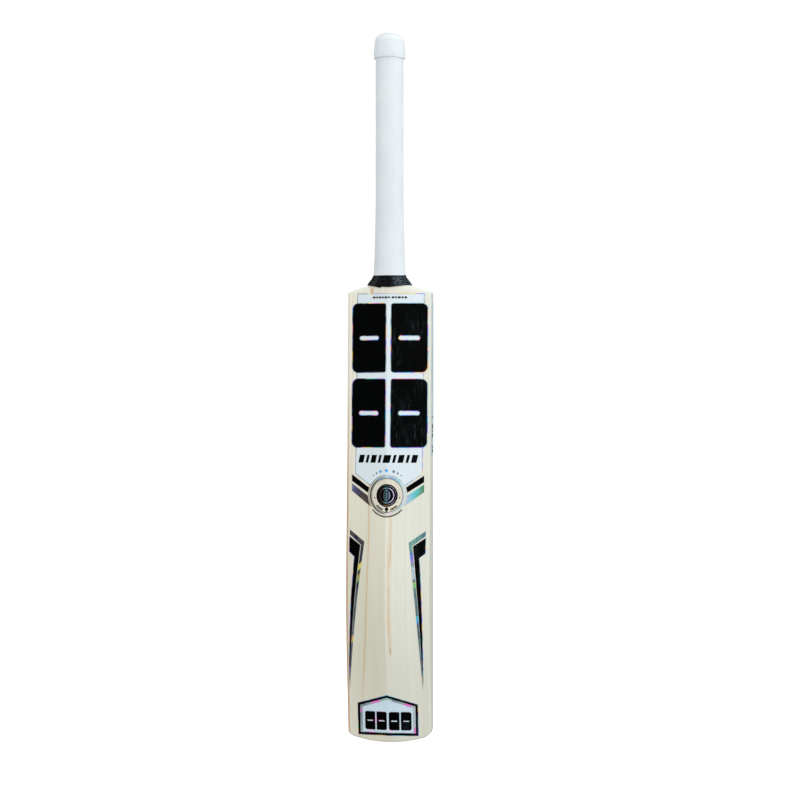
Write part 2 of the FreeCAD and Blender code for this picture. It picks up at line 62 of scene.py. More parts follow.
# The ribs of the grip change the way they lean from band to band: a short band at the foot, even ones above
# it, and what is left over below the end ring.
RIB_FOOT = 573.5
RIB_TOP = 839.0
FIRST_BAND = 19.0
BAND = 32.0
RIB_BANDS = [RIB_FOOT, *np.arange(RIB_FOOT + FIRST_BAND, RIB_TOP - BAND / 2, BAND).tolist(), RIB_TOP]

# Profile of the end ring, height and outer radius, and the hole in its top.
RING_PROFILE = [(838.6, 19.1), (841.0, 19.4), (847.0, 19.45), (852.0, 19.0), (857.0, 18.4), (861.0, 17.9),
                (864.0, 17.0), (866.0, 15.9), (868.0, 13.4), (869.4, 10.6), (870.0, 8.6)]
RING_BORE = 8.0

# The V of the splice: heights and half widths of its blunt tip and its open top, and how far each side goes
# out for every millimetre up.
SPLICE_TIP_HEIGHT = 415.0
SPLICE_TIP_HALF = 2.0
SPLICE_TOP_HEIGHT = 875.0
SPLICE_TOP_HALF = 55.0
SPLICE_SLOPE = (SPLICE_TOP_HALF - SPLICE_TIP_HALF) / (SPLICE_TOP_HEIGHT - SPLICE_TIP_HEIGHT)

# Rounding of the corners of the large printed blocks.
BLOCK_RADIUS = 7.0

# Height at which the blade's ridged back starts to run up into the neck, and the finer grid of points there.
NECK_START = 540.0
NECK_GRID = 2.2

# An outline read off the CAD leaves out the points that stand off a straight side by less than this.
STRAIGHT_WITHIN = 0.02

# How far the face of each printed layer stands off the wood.
FOIL_LAYER = 0.12
STICKER_LAYER = 0.25
BLOCK_FOIL_LAYER = 0.36
PRINT_LAYER = 0.32
BLOCK_LAYER = 0.45
BADGE_GROUND_LAYER = 0.2
BADGE_RING_LAYER = 0.24
BADGE_MARK_LAYER = 0.28
BADGE_DISC_LAYER = 0.3
BADGE_LEAF_LAYER = 0.34
TOE_BAND_LAYER = 0.3
TOE_PANEL_LAYER = 0.35
TOE_FOIL_LAYER = 0.38
TOE_PRINT_LAYER = 0.43
EDGE_FILM_LAYER = 0.24
EDGE_PRINT_LAYER = 0.3


# ---------------------------------------------------------------------------------------------- materials


def srgb(red, green, blue):
    """Linear colour, with alpha, from display values 0 to 255."""
    def linear(value):
        value /= 255
        return value / 12.92 if value <= 0.04045 else ((value + 0.055) / 1.055) ** 2.4
    return (linear(red), linear(green), linear(blue), 1.0)


class Shader:
    """One node material, whose patterns are laid out in millimetres in the frame of the bat."""

    def __init__(self, name, **sockets):
        self.material = bpy.data.materials.new(name)
        self.material.use_nodes = True
        self.tree = self.material.node_tree
        self.surface = self.tree.nodes["Principled BSDF"]
        for socket, value in sockets.items():
            self.feed(self.surface.inputs[socket.replace("_", " ")], value)
        place = self.tree.nodes.new("ShaderNodeTexCoord").outputs["Object"]
        self.place = self.node("ShaderNodeVectorMath", [place, (1 / MM,) * 3], operation="MULTIPLY")
        split = self.tree.nodes.new("ShaderNodeSeparateXYZ")
        self.tree.links.new(self.place, split.inputs[0])
        self.x, self.y, self.z = split.outputs

    def feed(self, socket, value):
        """Link or set a socket.  A colour is three display values from 0 to 255."""
        if isinstance(value, bpy.types.NodeSocket):
            self.tree.links.new(value, socket)
        else:
            socket.default_value = srgb(*value) if socket.type == "RGBA" else value

    def node(self, kind, inputs, output=0, **settings):
        made = self.tree.nodes.new(kind)
        for setting, value in settings.items():
            setattr(made, setting, value)
        named = inputs.items() if isinstance(inputs, dict) else enumerate(inputs)
        for socket, value in named:
            self.feed(made.inputs[socket], value)
        return made.outputs[output]

    def math(self, operation, *values):
        return self.node("ShaderNodeMath", values, operation=operation)

    def times(self, first, *others):
        for other in others:
            first = self.math("MULTIPLY", first, other)
        return first

    def plus(self, first, second):
        return self.math("ADD", first, second)

    def line(self, value, slope, start):
        """Straight line: value times slope, plus start."""
        return self.math("MULTIPLY_ADD", value, slope, start)

    def noise(self, scale, detail=2.0, roughness=0.5, shift=0.0):
        """Noise with this many cycles a millimetre along x, y and z."""
        moved = self.node("ShaderNodeVectorMath", [self.place, scale, (shift, shift * 0.7, shift * 0.3)],
                          operation="MULTIPLY_ADD")
        return self.node("ShaderNodeTexNoise", {"Vector": moved, "Scale": 1.0, "Detail": detail,
                                                "Roughness": roughness})

    def ramp(self, factor, *stops):
        """Colour or grey by factor; each stop is a position with a grey or a display colour."""
        made = self.tree.nodes.new("ShaderNodeValToRGB")
        self.feed(made.inputs[0], factor)
        elements = made.color_ramp.elements
        while len(elements) < len(stops):
            elements.new(0.5)
        for element, (position, colour) in zip(elements, stops):
            element.position = position
            element.color = srgb(*colour) if isinstance(colour, tuple) else (colour, colour, colour, 1.0)
        return made.outputs[0]

    def step(self, value, low, high, start=0.0, end=1.0):
        """Smooth step from start to end as value goes from low to high."""
        made = self.tree.nodes.new("ShaderNodeMapRange")
        made.interpolation_type = "SMOOTHSTEP"
        for socket, number in enumerate((value, low, high, start, end)):
            self.feed(made.inputs[socket], number)
        return made.outputs[0]

    def mix(self, factor, first, second, blend="MIX"):
        made = self.tree.nodes.new("ShaderNodeMix")
        made.data_type = "RGBA"
        made.blend_type = blend
        self.feed(made.inputs[0], factor)
        self.feed(made.inputs[6], first)
        self.feed(made.inputs[7], second)
        return made.outputs[2]

    def near(self, value, centre, width):
        """1 where value is at centre, fading to 0 at width from it."""
        gap = self.math("ABSOLUTE", self.math("SUBTRACT", value, centre))
        return self.step(gap, 0.0, width, 1.0, 0.0)

    def colour(self, value):
        self.feed(self.surface.inputs["Base Color"], value)

    def rough(self, pattern, low, high, start, end):
        """Roughness that goes from start to end as the pattern goes from low to high."""
        self.feed(self.surface.inputs["Roughness"], self.ramp(pattern, (low, start), (high, end)))

    def bump(self, height, distance, strength=1.0):
        """Relief of this depth in millimetres."""
        self.feed(self.surface.inputs["Normal"], self.node(
            "ShaderNodeBump", {"Height": height, "Distance": distance * MM, "Strength": strength}))


# Long lines of late wood in the blade: place across the back at a height of 280, half width, lean in 100 mm
# of height, bow in the first 100 mm below 280, and strength.
GRAIN_LINES = [(-45.5, 0.9, 0.2, 0.0, 0.25), (-33.0, 0.8, 0.3, -0.4, 0.14), (-22.0, 0.9, 0.0, -2.0, 0.85),
               (-14.0, 0.8, -0.3, -0.8, 0.10), (13.5, 0.7, 0.2, 0.3, 0.10),
               (23.0, 1.0, -0.2, 0.4, 0.16), (32.0, 0.9, 0.2, 0.8, 0.14), (40.0, 0.8, 0.2, 0.4, 0.10)]


def willow():
    """Pale willow: long straight grain, a reddish band beside the ridge, and a warmer tone left of it."""
    s = Shader("willow", Roughness=0.5, Coat_Weight=0.12, Coat_Roughness=0.35)
    across = s.plus(s.x, s.line(s.noise((0.0, 0.0, 0.011), 1.0), 1.6, -0.8))
    above = s.line(s.z, 0.01, -2.8)
    below = s.math("MINIMUM", above, 0.0)
    broad = s.noise((0.05, 0.03, 0.0015), 2.0)
    fine = s.noise((0.9, 0.5, 0.006), 3.0, 0.6, 11.0)
    hair = s.noise((3.5, 2.0, 0.03), 2.0, 0.6, 5.0)
    low = s.ramp(broad, (0.30, (222, 218, 198)), (0.5, (227, 223, 204)), (0.70, (231, 228, 211)))
    high = s.ramp(broad, (0.30, (238, 234, 215)), (0.5, (243, 240, 223)), (0.70, (247, 245, 230)))
    left = s.mix(s.step(s.z, 130.0, 480.0), low, high)
    right = s.ramp(broad, (0.30, (222, 221, 206)), (0.5, (227, 227, 213)), (0.70, (231, 231, 219)))
    colour = s.mix(s.step(s.x, -4.0, 6.0), left, right)
    colour = s.mix(s.step(fine, 0.45, 0.72, 0.0, 0.16), colour, (208, 194, 160))
    for place, width, lean, bow, strength in GRAIN_LINES:
        bend = s.times(s.times(below, below), bow)
        path = s.line(above, lean, s.plus(bend, place))
        line = s.near(s.math("SUBTRACT", across, path), 0.0, width * 1.8)
        patchy = s.step(s.noise((0.02, 0.0, 0.012), 1.0, 0.5, place), 0.30, 0.55, 0.45, 1.0)
        colour = s.mix(s.times(s.times(line, patchy), strength * 0.8), colour,
                       (212, 176, 124))
    colour = s.mix(ridge_band(s), colour, (222, 178, 126))
    colour = s.mix(s.step(s.z, 546.0, 556.0, 0.0, 0.8), colour, (242, 241, 230))
    colour = s.mix(heartwood(s), colour, (202, 150, 102))
    colour = s.mix(s.times(glue_line(s), 0.55), colour, (168, 136, 94))
    colour = s.mix(shoulder_stain(s), colour, (226, 178, 118))
    colour = s.mix(knot(s), colour, (176, 116, 66))
    s.colour(s.mix(s.step(hair, 0.5, 0.8, 0.0, 0.07), colour, (188, 168, 134)))
    s.rough(fine, 0.3, 0.7, 0.46, 0.6)
    s.bump(s.plus(s.times(fine, 0.6), s.times(hair, 0.4)), 0.05, 0.5)
    return s.material


def ridge_band(s):
    """Where the reddish band runs down beside the ridge to the knot; only a thin line goes on."""
    drift = s.plus(s.x, s.line(s.noise((0.0, 0.0, 0.02), 2.0, 0.5, 4.0), 2.0, -1.0))
    band = s.times(s.step(drift, 1.8, 4.6), s.step(drift, 8.6, 6.0))
    band = s.times(band, s.step(s.z, 100.0, 120.0, 0.1, 1.0))
    cloud = s.step(s.noise((0.22, 0.0, 0.016), 3.0, 0.55, 3.0), 0.32, 0.68, 0.15, 0.85)
    cloud = s.times(cloud, s.step(s.z, 225.0, 262.0, 1.0, 0.6))
    core = s.times(s.near(s.x, 5.5, 1.3), s.step(s.z, 104.0, 116.0, 0.0, 0.55))
    core = s.times(core, s.step(s.z, 215.0, 165.0, 0.3, 1.0))
    return s.times(s.math("MAXIMUM", s.times(band, cloud), core), s.step(s.y, 22.0, 14.0))


def heartwood(s):
    """How red the left edge is: reddest by the back and low down, in streaks, and pale again by the face."""
    back = s.step(s.y, 24.0, 0.0, 0.25, 1.0)
    streak = s.step(s.noise((0.0, 0.42, 0.004), 3.0, 0.6, 23.0), 0.30, 0.66, 0.82, 1.0)
    amount = s.times(back, streak)
    height = s.step(s.z, 470.0, 280.0, 0.35, 0.95)
    return s.times(s.times(amount, height), s.step(s.x, -47.8, -50.4))


def glue_line(s):
    """The thin line of glue round the V of the splice, where the cane handle is let into the willow."""
    half = s.line(s.z, SPLICE_SLOPE, SPLICE_TIP_HALF - SPLICE_TIP_HEIGHT * SPLICE_SLOPE)
    line = s.near(s.math("ABSOLUTE", s.x), half, 0.7)
    tip = s.times(s.near(s.z, SPLICE_TIP_HEIGHT, 0.7), s.step(s.math("ABSOLUTE", s.x), 2.4, 2.0))
    whole = s.math("MAXIMUM", s.times(line, s.step(s.z, 414.6, 415.4)), tip)
    return s.times(whole, s.step(s.y, 14.0, 20.0))


def shoulder_stain(s):
    """Where warm stains show on the wood just under the tape: left of the neck, and fainter in the middle."""
    beside = s.times(s.near(s.x, -19.5, 4.5), s.near(s.z, 554.0, 9.0))
    middle = s.times(s.near(s.x, -3.0, 6.0), s.near(s.z, 557.0, 7.0))
    return s.math("MAXIMUM", s.times(beside, 0.85), s.times(middle, 0.3))


def knot(s):
    """A pin knot where the reddish band ends, low on the blade."""
    away = s.node("ShaderNodeVectorMath", [s.place, (1.0, 0.0, 0.22), (-5.6, 0.0, -25.1)],
                  operation="MULTIPLY_ADD")
    length = s.node("ShaderNodeVectorMath", [away], 1, operation="LENGTH")
    return s.step(length, 0.2, 1.3, 0.6, 0.0)


def cane():
    """Split cane: fine fibres along the handle in a pale honey ground."""
    s = Shader("cane", Roughness=0.5)
    fibre = s.noise((1.6, 1.6, 0.01), 3.0, 0.6)
    pores = s.noise((4.0, 4.0, 0.2), 2.0, 0.6, 3.0)
    pale = s.ramp(fibre, (0.3, (234, 226, 206)), (0.5, (240, 236, 222)), (0.7, (243, 240, 228)))
    honey = s.ramp(fibre, (0.3, (206, 178, 130)), (0.5, (220, 196, 150)), (0.7, (230, 210, 168)))
    colour = s.mix(s.step(s.y, 18.0, 27.0), pale, honey)
    colour = s.mix(s.step(pores, 0.60, 0.74, 0.0, 0.4), colour, (176, 142, 96))
    seam = s.times(s.near(s.math("ABSOLUTE", s.x), 4.9, 0.5), s.step(s.y, 14.0, 20.0))
    colour = s.mix(s.times(seam, 0.5), colour, (150, 118, 80))
    s.colour(s.mix(s.times(glue_line(s), 0.55), colour, (150, 118, 80)))
    s.rough(fibre, 0.3, 0.7, 0.6, 0.45)
    s.bump(fibre, 0.1, 0.6)
    return s.material


def spring_rubber():
    s = Shader("spring_rubber", Roughness=0.8)
    speck = s.noise((2.0, 2.0, 2.0), 3.0)
    s.colour(s.ramp(speck, (0.35, (30, 29, 28)), (0.7, (62, 58, 54))))
    s.bump(speck, 0.05, 0.5)
    return s.material


def twine():
    """Waxed thread wound close round the handle."""
    s = Shader("twine", Roughness=0.65)
    turns = s.math("SINE", s.times(s.z, 2 * math.pi / 0.9))
    fibre = s.noise((1.0, 1.0, 6.0), 3.0)
    s.colour(s.ramp(fibre, (0.3, (120, 88, 56)), (0.7, (176, 140, 98))))
    s.rough(fibre, 0.3, 0.7, 0.75, 0.55)
    s.bump(turns, 0.2, 0.6)
    return s.material


def groove_painted_shade():
    """Rubber between the ribs, painted darker as painted shade in the grooves, with a faint mottle."""
    s = Shader("groove_painted_shade", Roughness=0.75, Specular_IOR_Level=0.2)
    dust = s.noise((0.4, 0.4, 0.4), 3.0, 0.6, 3.0)
    s.colour(s.ramp(dust, (0.3, (206, 213, 217)), (0.7, (219, 225, 229))))
    s.rough(dust, 0.3, 0.7, 0.85, 0.7)
    s.bump(dust, 0.03, 0.5)
    return s.material


def white_rubber(name, tint_height):
    """White grip rubber, faintly dusty; above tint_height it yellows a little."""
    s = Shader(name, Roughness=0.6, Specular_IOR_Level=0.35)
    cloud = s.noise((0.03, 0.03, 0.02), 3.0, 0.55)
    dust = s.noise((1.3, 1.3, 1.3), 3.0, 0.6, 7.0)
    colour = s.ramp(cloud, (0.3, (230, 235, 239)), (0.55, (236, 240, 243)), (0.75, (239, 242, 244)))
    colour = s.mix(s.step(dust, 0.5, 0.8, 0.0, 0.25), colour, (205, 209, 211))
    s.colour(s.mix(s.step(s.z, tint_height - 3.0, tint_height + 3.0, 0.0, 0.35), colour, (230, 229, 214)))
    s.rough(cloud, 0.3, 0.7, 0.66, 0.54)
    s.bump(dust, 0.03, 0.5)
    return s.material


def black_tape():
    """Glossy black vinyl, stretched, with scuffs; right of the middle they carry a painted blue highlight."""
    s = Shader("black_tape", Roughness=0.3, Specular_IOR_Level=0.3)
    scuff_and_glint = s.noise((0.35, 0.2, 0.9), 4.0, 0.6, 2.0)
    crease = s.noise((0.16, 0.1, 0.5), 3.0, 0.5, 9.0)
    dull = s.ramp(scuff_and_glint, (0.45, (6, 8, 9)), (0.75, (26, 34, 38)))
    # Painted highlight: right of the middle the scuffs are painted blue-grey, as if lit by a blue light.
    painted_blue_highlight = s.ramp(scuff_and_glint, (0.44, (8, 12, 15)), (0.55, (36, 48, 56)), (0.68, (104, 132, 146)))
    s.colour(s.mix(s.step(s.x, 2.0, 16.0), dull, painted_blue_highlight))
    s.rough(scuff_and_glint, 0.35, 0.7, 0.2, 0.5)
    s.bump(crease, 0.5, 0.5)
    return s.material


def white_vinyl(name, light, shade, marks=0.2):
    """Printed white sticker film, with faint cloudiness and rub marks."""
    s = Shader(name, Roughness=0.35, Specular_IOR_Level=0.4)
    cloud = s.noise((0.03, 0.03, 0.02), 3.0, 0.6)
    rub = s.noise((0.5, 0.3, 0.05), 4.0, 0.6, 4.0)
    colour = s.ramp(cloud, (0.3, shade), (0.7, light))
    s.colour(s.mix(s.step(rub, 0.55, 0.8, 0.0, marks), colour, (190, 200, 208)))
    s.rough(rub, 0.35, 0.7, 0.3, 0.48)
    s.bump(rub, 0.03, 0.4)
    return s.material


def black_print():
    """Gloss black print, with long faint rub marks that carry a painted grey-blue reflection, mostly right of
    the ridge.
    """
    s = Shader("black_print", Roughness=0.35, Specular_IOR_Level=0.04)
    rub = s.noise((0.8, 0.2, 0.07), 4.0, 0.7, 6.0)
    patch = s.noise((0.045, 0.03, 0.03), 2.0, 0.5, 1.0)
    # Painted reflection: where the rubs lie, the black is painted grey-blue, faint left of the ridge and full
    # right of it.
    painted_rub_reflection = s.times(s.step(rub, 0.50, 0.74), s.step(patch, 0.40, 0.62))
    painted_rub_reflection = s.times(painted_rub_reflection, s.step(s.x, -8.0, 8.0, 0.12, 1.0))
    s.colour(s.mix(painted_rub_reflection, (3, 4, 4), (44, 58, 62)))
    s.feed(s.surface.inputs["Roughness"], s.step(rub, 0.35, 0.7, 0.3, 0.55))
    s.bump(rub, 0.03, 0.4)
    return s.material


# Colours of light broken up by the foils, in order.
RAINBOW = [(0.28, (90, 220, 190)), (0.36, (60, 200, 250)), (0.43, (90, 120, 245)), (0.49, (170, 140, 250)),
           (0.55, (250, 150, 215)), (0.61, (252, 196, 90)), (0.68, (250, 246, 110)), (0.75, (120, 225, 120))]

# Where the striped film catches the light: side, height, half height, place along the rainbow, and strength.
GLINTS = [(-1.0, 216.0, 4.5, 0.67, 1.0), (-1.0, 203.0, 5.0, 0.70, 0.5), (-1.0, 136.0, 4.5, 0.62, 1.0),
          (1.0, 228.0, 8.0, 0.47, 0.8), (1.0, 194.0, 4.5, 0.76, 0.9), (1.0, 151.0, 6.0, 0.36, 1.0),
          (1.0, 78.0, 4.0, 0.61, 0.9)]


def hologram_foil():
    """Silver film of the stripes, slate left and teal right as painted reflection, with painted glints of
    strong colour.
    """
    s = Shader("hologram_foil", Metallic=0.3, Roughness=0.32, Specular_IOR_Level=0.3)
    drift = s.noise((0.16, 0.03, 0.07), 3.0, 0.6)
    slate = s.ramp(drift, (0.34, (36, 48, 72)), (0.5, (74, 70, 84)), (0.66, (112, 96, 92)))
    teal = s.ramp(drift, (0.34, (74, 104, 132)), (0.5, (100, 146, 152)), (0.66, (132, 182, 168)))
    colour = s.mix(s.step(s.x, -14.0, 14.0), slate, teal)
    low = s.step(s.z, 212.0, 180.0)
    colour = s.mix(s.times(low, 0.6), colour, s.ramp(drift, (0.35, (62, 84, 106)),
                                                                  (0.65, (128, 150, 160))))
    for side, height, half, hue, strength in GLINTS:
        slope = -0.9 if side < 0 else -0.3
        level = s.plus(s.z, s.line(s.x, slope, -slope * side * 34.0))
        share = s.line(level, -0.06 / half, hue + 0.06 * height / half)
        tint = s.ramp(share, *RAINBOW)
        spot = s.times(s.near(level, height, half * 1.3), s.step(s.x, side * 4.0, side * 12.0))
        colour = s.mix(s.step(spot, 0.08, 0.55, 0.0, strength), colour, tint)
    # Painted sheen: a pale patch on the film right of the ridge.
    sheen = s.times(s.near(s.z, 209.0, 13.0), s.step(s.x, 12.0, 20.0))
    colour = s.mix(s.step(sheen, 0.1, 0.6, 0.0, 0.85), colour, (206, 224, 240))
    away = s.math("ABSOLUTE", s.x)
    share = s.plus(s.line(away, 1 / 26.0, -20.0 / 26.0),
                   s.line(s.noise((0.12, 0.03, 0.2), 2.0, 0.5, 17.0), 0.5, -0.25))
    fan_right = s.ramp(share, (0.1, (206, 214, 240)), (0.38, (130, 218, 232)), (0.6, (96, 206, 196)),
                       (0.76, (110, 160, 130)), (0.9, (66, 150, 104)))
    fan_left = s.ramp(share, (0.1, (58, 60, 56)), (0.35, (104, 88, 76)), (0.6, (84, 76, 92)),
                      (0.8, (96, 100, 146)), (0.92, (150, 152, 186)))
    fan = s.mix(s.step(s.x, -4.0, 4.0), fan_left, fan_right)
    s.colour(s.mix(s.times(s.step(s.z, 276.0, 282.0), 0.92), colour, fan))
    s.rough(drift, 0.35, 0.65, 0.4, 0.26)
    s.bump(s.noise((1.5, 1.0, 1.5), 2.0, 0.5, 2.0), 0.02, 0.4)
    return s.material


def rainbow_line():
    """Film of the thin outlines, that breaks light into short lengths of colour between dark ones."""
    s = Shader("rainbow_line", Metallic=0.2, Roughness=0.3, Specular_IOR_Level=0.3)
    drift = s.noise((0.05, 0.04, 0.05), 2.0, 0.5, 13.0)
    dark = s.ramp(drift, (0.38, (28, 34, 58)), (0.5, (70, 84, 124)), (0.6, (136, 150, 190)))
    pale = s.ramp(drift, (0.38, (94, 140, 160)), (0.5, (170, 206, 214)), (0.6, (232, 238, 226)))
    # Painted reflection: dark film on the left and pale film on the right.
    plain = s.mix(s.step(s.x, -24.0, 14.0), dark, pale)
    hue = s.ramp(s.noise((0.05, 0.04, 0.06), 1.0, 0.5, 8.0), *RAINBOW)
    vivid = s.step(s.noise((0.06, 0.05, 0.07), 1.0, 0.5, 21.0), 0.47, 0.56)
    s.colour(s.mix(vivid, plain, hue))
    s.rough(drift, 0.35, 0.65, 0.36, 0.22)
    return s.material


def badge_foil():
    """Foil rings of the badge, painted as reflection: dark on the left, blue over the top, pale on the right
    and at the foot.
    """
    s = Shader("badge_foil", Metallic=0.2, Roughness=0.3, Specular_IOR_Level=0.3)
    ripple = s.noise((0.22, 0.05, 0.22), 2.0, 0.5, 5.0)
    share = s.plus(s.line(s.x, 1 / 46.0, 0.5), s.line(ripple, 0.3, -0.15))
    top = s.ramp(share, (0.08, (74, 72, 70)), (0.26, (60, 104, 116)), (0.40, (92, 160, 226)),
                 (0.54, (176, 216, 236)), (0.68, (96, 150, 232)), (0.84, (120, 226, 240)),
                 (0.95, (214, 230, 246)))
    foot = s.ramp(share, (0.1, (92, 84, 78)), (0.36, (160, 166, 172)), (0.54, (222, 220, 232)),
                  (0.66, (246, 190, 240)), (0.8, (190, 226, 216)), (0.95, (186, 206, 246)))
    s.colour(s.mix(s.step(s.z, 286.0, 298.0), foot, top))
    s.rough(ripple, 0.35, 0.65, 0.4, 0.24)
    return s.material


def leaf_foil():
    """Foil lines in the disc of the badge, painted as reflection: dim brown on the left, teal in the middle,
    lilac on the right.
    """
    s = Shader("leaf_foil", Metallic=0.2, Roughness=0.3, Specular_IOR_Level=0.3)
    ripple = s.noise((0.3, 0.05, 0.3), 2.0, 0.5, 9.0)
    share = s.plus(s.line(s.x, 1 / 24.0, 0.47), s.line(ripple, 0.16, -0.08))
    across = s.ramp(share, (0.08, (44, 38, 40)), (0.3, (92, 72, 66)), (0.42, (120, 176, 172)),
                    (0.54, (96, 112, 158)), (0.70, (190, 208, 236)), (0.82, (232, 208, 240)),
                    (0.95, (110, 108, 150)))
    amber = s.times(s.near(s.x, 1.0, 4.5), s.near(s.z, 291.6, 3.0))
    s.colour(s.mix(amber, across, (246, 168, 84)))
    s.rough(ripple, 0.35, 0.65, 0.4, 0.24)
    return s.material


def toe_foil():
    """Pale silver band of the toe label, with pink glints."""
    s = Shader("toe_foil", Metallic=0.25, Roughness=0.3, Specular_IOR_Level=0.3)
    drift = s.noise((0.08, 0.05, 0.08), 2.0, 0.5, 3.0)
    silver = s.ramp(drift, (0.35, (132, 150, 158)), (0.5, (168, 184, 190)), (0.65, (206, 218, 224)))
    pink = s.step(s.noise((0.07, 0.05, 0.09), 1.0, 0.5, 31.0), 0.60, 0.65)
    green = s.step(s.noise((0.06, 0.05, 0.08), 1.0, 0.5, 47.0), 0.6, 0.66, 0.0, 0.7)
    colour = s.mix(green, silver, (170, 226, 190))
    s.colour(s.mix(pink, colour, (255, 138, 222)))
    s.rough(drift, 0.35, 0.65, 0.4, 0.25)
    return s.material


def badge_print(name, scale, shade, light):
    """Cloudy print of the round badge: its cream ground, and the brown-olive ink of its fine lines."""
    s = Shader(name, Roughness=0.4)
    cloud = s.noise(scale, 3.0, 0.6)
    s.colour(s.ramp(cloud, (0.3, shade), (0.7, light)))
    s.rough(cloud, 0.3, 0.7, 0.5, 0.36)
    return s.material


def ink(name, light, shade):
    """Coloured print with a faint mottle."""
    s = Shader(name, Roughness=0.35, Specular_IOR_Level=0.3)
    mottle = s.noise((0.5, 0.4, 0.5), 3.0, 0.6, 5.0)
    s.colour(s.ramp(mottle, (0.35, shade), (0.65, light)))
    s.rough(mottle, 0.35, 0.65, 0.4, 0.3)
    return s.material


def make_materials():
    """Every material of the bat by name.  Most bear the name of the record's slot that they finish."""
    return {
        "willow": willow(),
        "cane": cane(),
        "spring_rubber": spring_rubber(),
        "twine": twine(),
        "grip_rubber": white_rubber("grip_rubber", 900.0),
        "ring_rubber": white_rubber("ring_rubber", 867.0),
        # Painted shade for the grooves between the ribs.
        "painted_groove_shade": groove_painted_shade(),
        "tape": black_tape(),
        "label_white": white_vinyl("label_white", (228, 238, 242), (220, 231, 237)),
        "print_black": black_print(),
        "foil": hologram_foil(),
        "foil_line": rainbow_line(),
        "toe_foil": toe_foil(),
        "badge_foil": badge_foil(),
        "leaf_foil": leaf_foil(),
        "badge": badge_print("badge_cream", (0.06, 0.05, 0.03), (218, 212, 192), (231, 227, 210)),
        "badge_line": badge_print("olive_line", (0.2, 0.1, 0.2), (58, 52, 40), (112, 100, 76)),
        "ink_slate": ink("ink_slate", (104, 132, 150), (66, 88, 108)),
        "ink_azure": ink("ink_azure", (66, 178, 238), (48, 140, 224)),
        "toe_print": white_vinyl("toe_print", (215, 235, 246), (206, 227, 240)),
        "edge_white": white_vinyl("edge_white", (214, 226, 230), (200, 214, 220), 0.4),
    }


# ------------------------------------------------------------------------------------------------- meshes


def add_piece(name, vertices, faces, material, replaced, sharp):
    """A mesh object, from vertices in millimetres, that rides on the bat."""
    mesh = bpy.data.meshes.new(name)
    mesh.from_pydata([tuple(c * MM for c in v) for v in vertices], [], faces)
    shell = bmesh.new()
    shell.from_mesh(mesh)
    bmesh.ops.recalc_face_normals(shell, faces=shell.faces)
    shell.to_mesh(mesh)
    shell.free()
    mesh.polygons.foreach_set("use_smooth", [True] * len(mesh.polygons))
    mesh.set_sharp_from_angle(angle=math.radians(sharp))
    mesh.materials.append(MATERIALS[material])
    piece = bpy.data.objects.new(name, mesh)
    bpy.context.scene.collection.objects.link(piece)
    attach(piece, BODY)
    if replaced:
        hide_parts(*replaced)
    return piece


def cad_tree(*nodes):
    """Search tree over the meshes of CAD nodes, in metres."""
    vertices, faces = [], []
    for node in nodes:
        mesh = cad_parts[node].data
        start = len(vertices)
        vertices += [v.co for v in mesh.vertices]
        faces += [[start + i for i in face.vertices] for face in mesh.polygons]
    return BVHTree.FromPolygons(vertices, faces)


class Back:
    """The ridged back of the blade, read off the CAD: a ruled surface between the ridge and the flanks."""

    FLANK = 42.0
    STEP = 2.0
    BLUR = 6.0

    def __init__(self):
        canes = [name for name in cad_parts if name.startswith("cane_")]
        self.wood = cad_tree("blade", *canes)
        self.heights = np.arange(8.0, NECK_START, self.STEP)
        near_ridge = np.array([self.hit(0.5, z) for z in self.heights])
        flank = np.array([self.hit(self.FLANK, z) for z in self.heights])
        slope = (flank - near_ridge) / (self.FLANK - 0.5)
        self.ridge = self.smooth(near_ridge - 0.5 * slope)
        self.slope = self.smooth(slope)

    def hit(self, x, z):
        place = self.wood.ray_cast(Vector((x, -100.0, z)) * MM, Vector((0.0, 1.0, 0.0)))[0]
        return None if place is None else place.y / MM

    def smooth(self, values):
        """Gaussian blur that carries straight on past both ends."""
        reach = int(3 * self.BLUR / self.STEP)
        weights = np.exp(-0.5 * (np.arange(-reach, reach + 1) * self.STEP / self.BLUR) ** 2)
        before = 2 * values[0] - values[reach:0:-1]
        after = 2 * values[-1] - values[-2:-reach - 2:-1]
        return np.convolve(np.concatenate([before, values, after]), weights / weights.sum(), "valid")

    def along(self, values, z):
        """Value at height z, carried straight on below and above the samples."""
        if z < self.heights[0]:
            return values[0] + (values[1] - values[0]) / self.STEP * (z - self.heights[0])
        if z > self.heights[-1]:
            return values[-1] + (values[-1] - values[-2]) / self.STEP * (z - self.heights[-1])
        return float(np.interp(z, self.heights, values))

    def depth(self, x, z):
        """y of the wood's surface at x and height z; near the neck, an average over a few millimetres."""
        ruled = self.along(self.ridge, z) + self.along(self.slope, z) * abs(x)
        if z < NECK_START:
            return ruled
        hits = [self.hit(x + dx, z + dz) for dx in (-1.5, 0.0, 1.5) for dz in (-1.5, 0.0, 1.5)]
        hits = [ruled if hit is None else min(ruled, hit) for hit in hits]
        return sum(hits) / len(hits)

    def place(self, x, z, rise):
        """The point that stands off the back by rise."""
        return (x, self.depth(x, z) - rise, z)


# ------------------------------------------------------------------------------------------ flat outlines


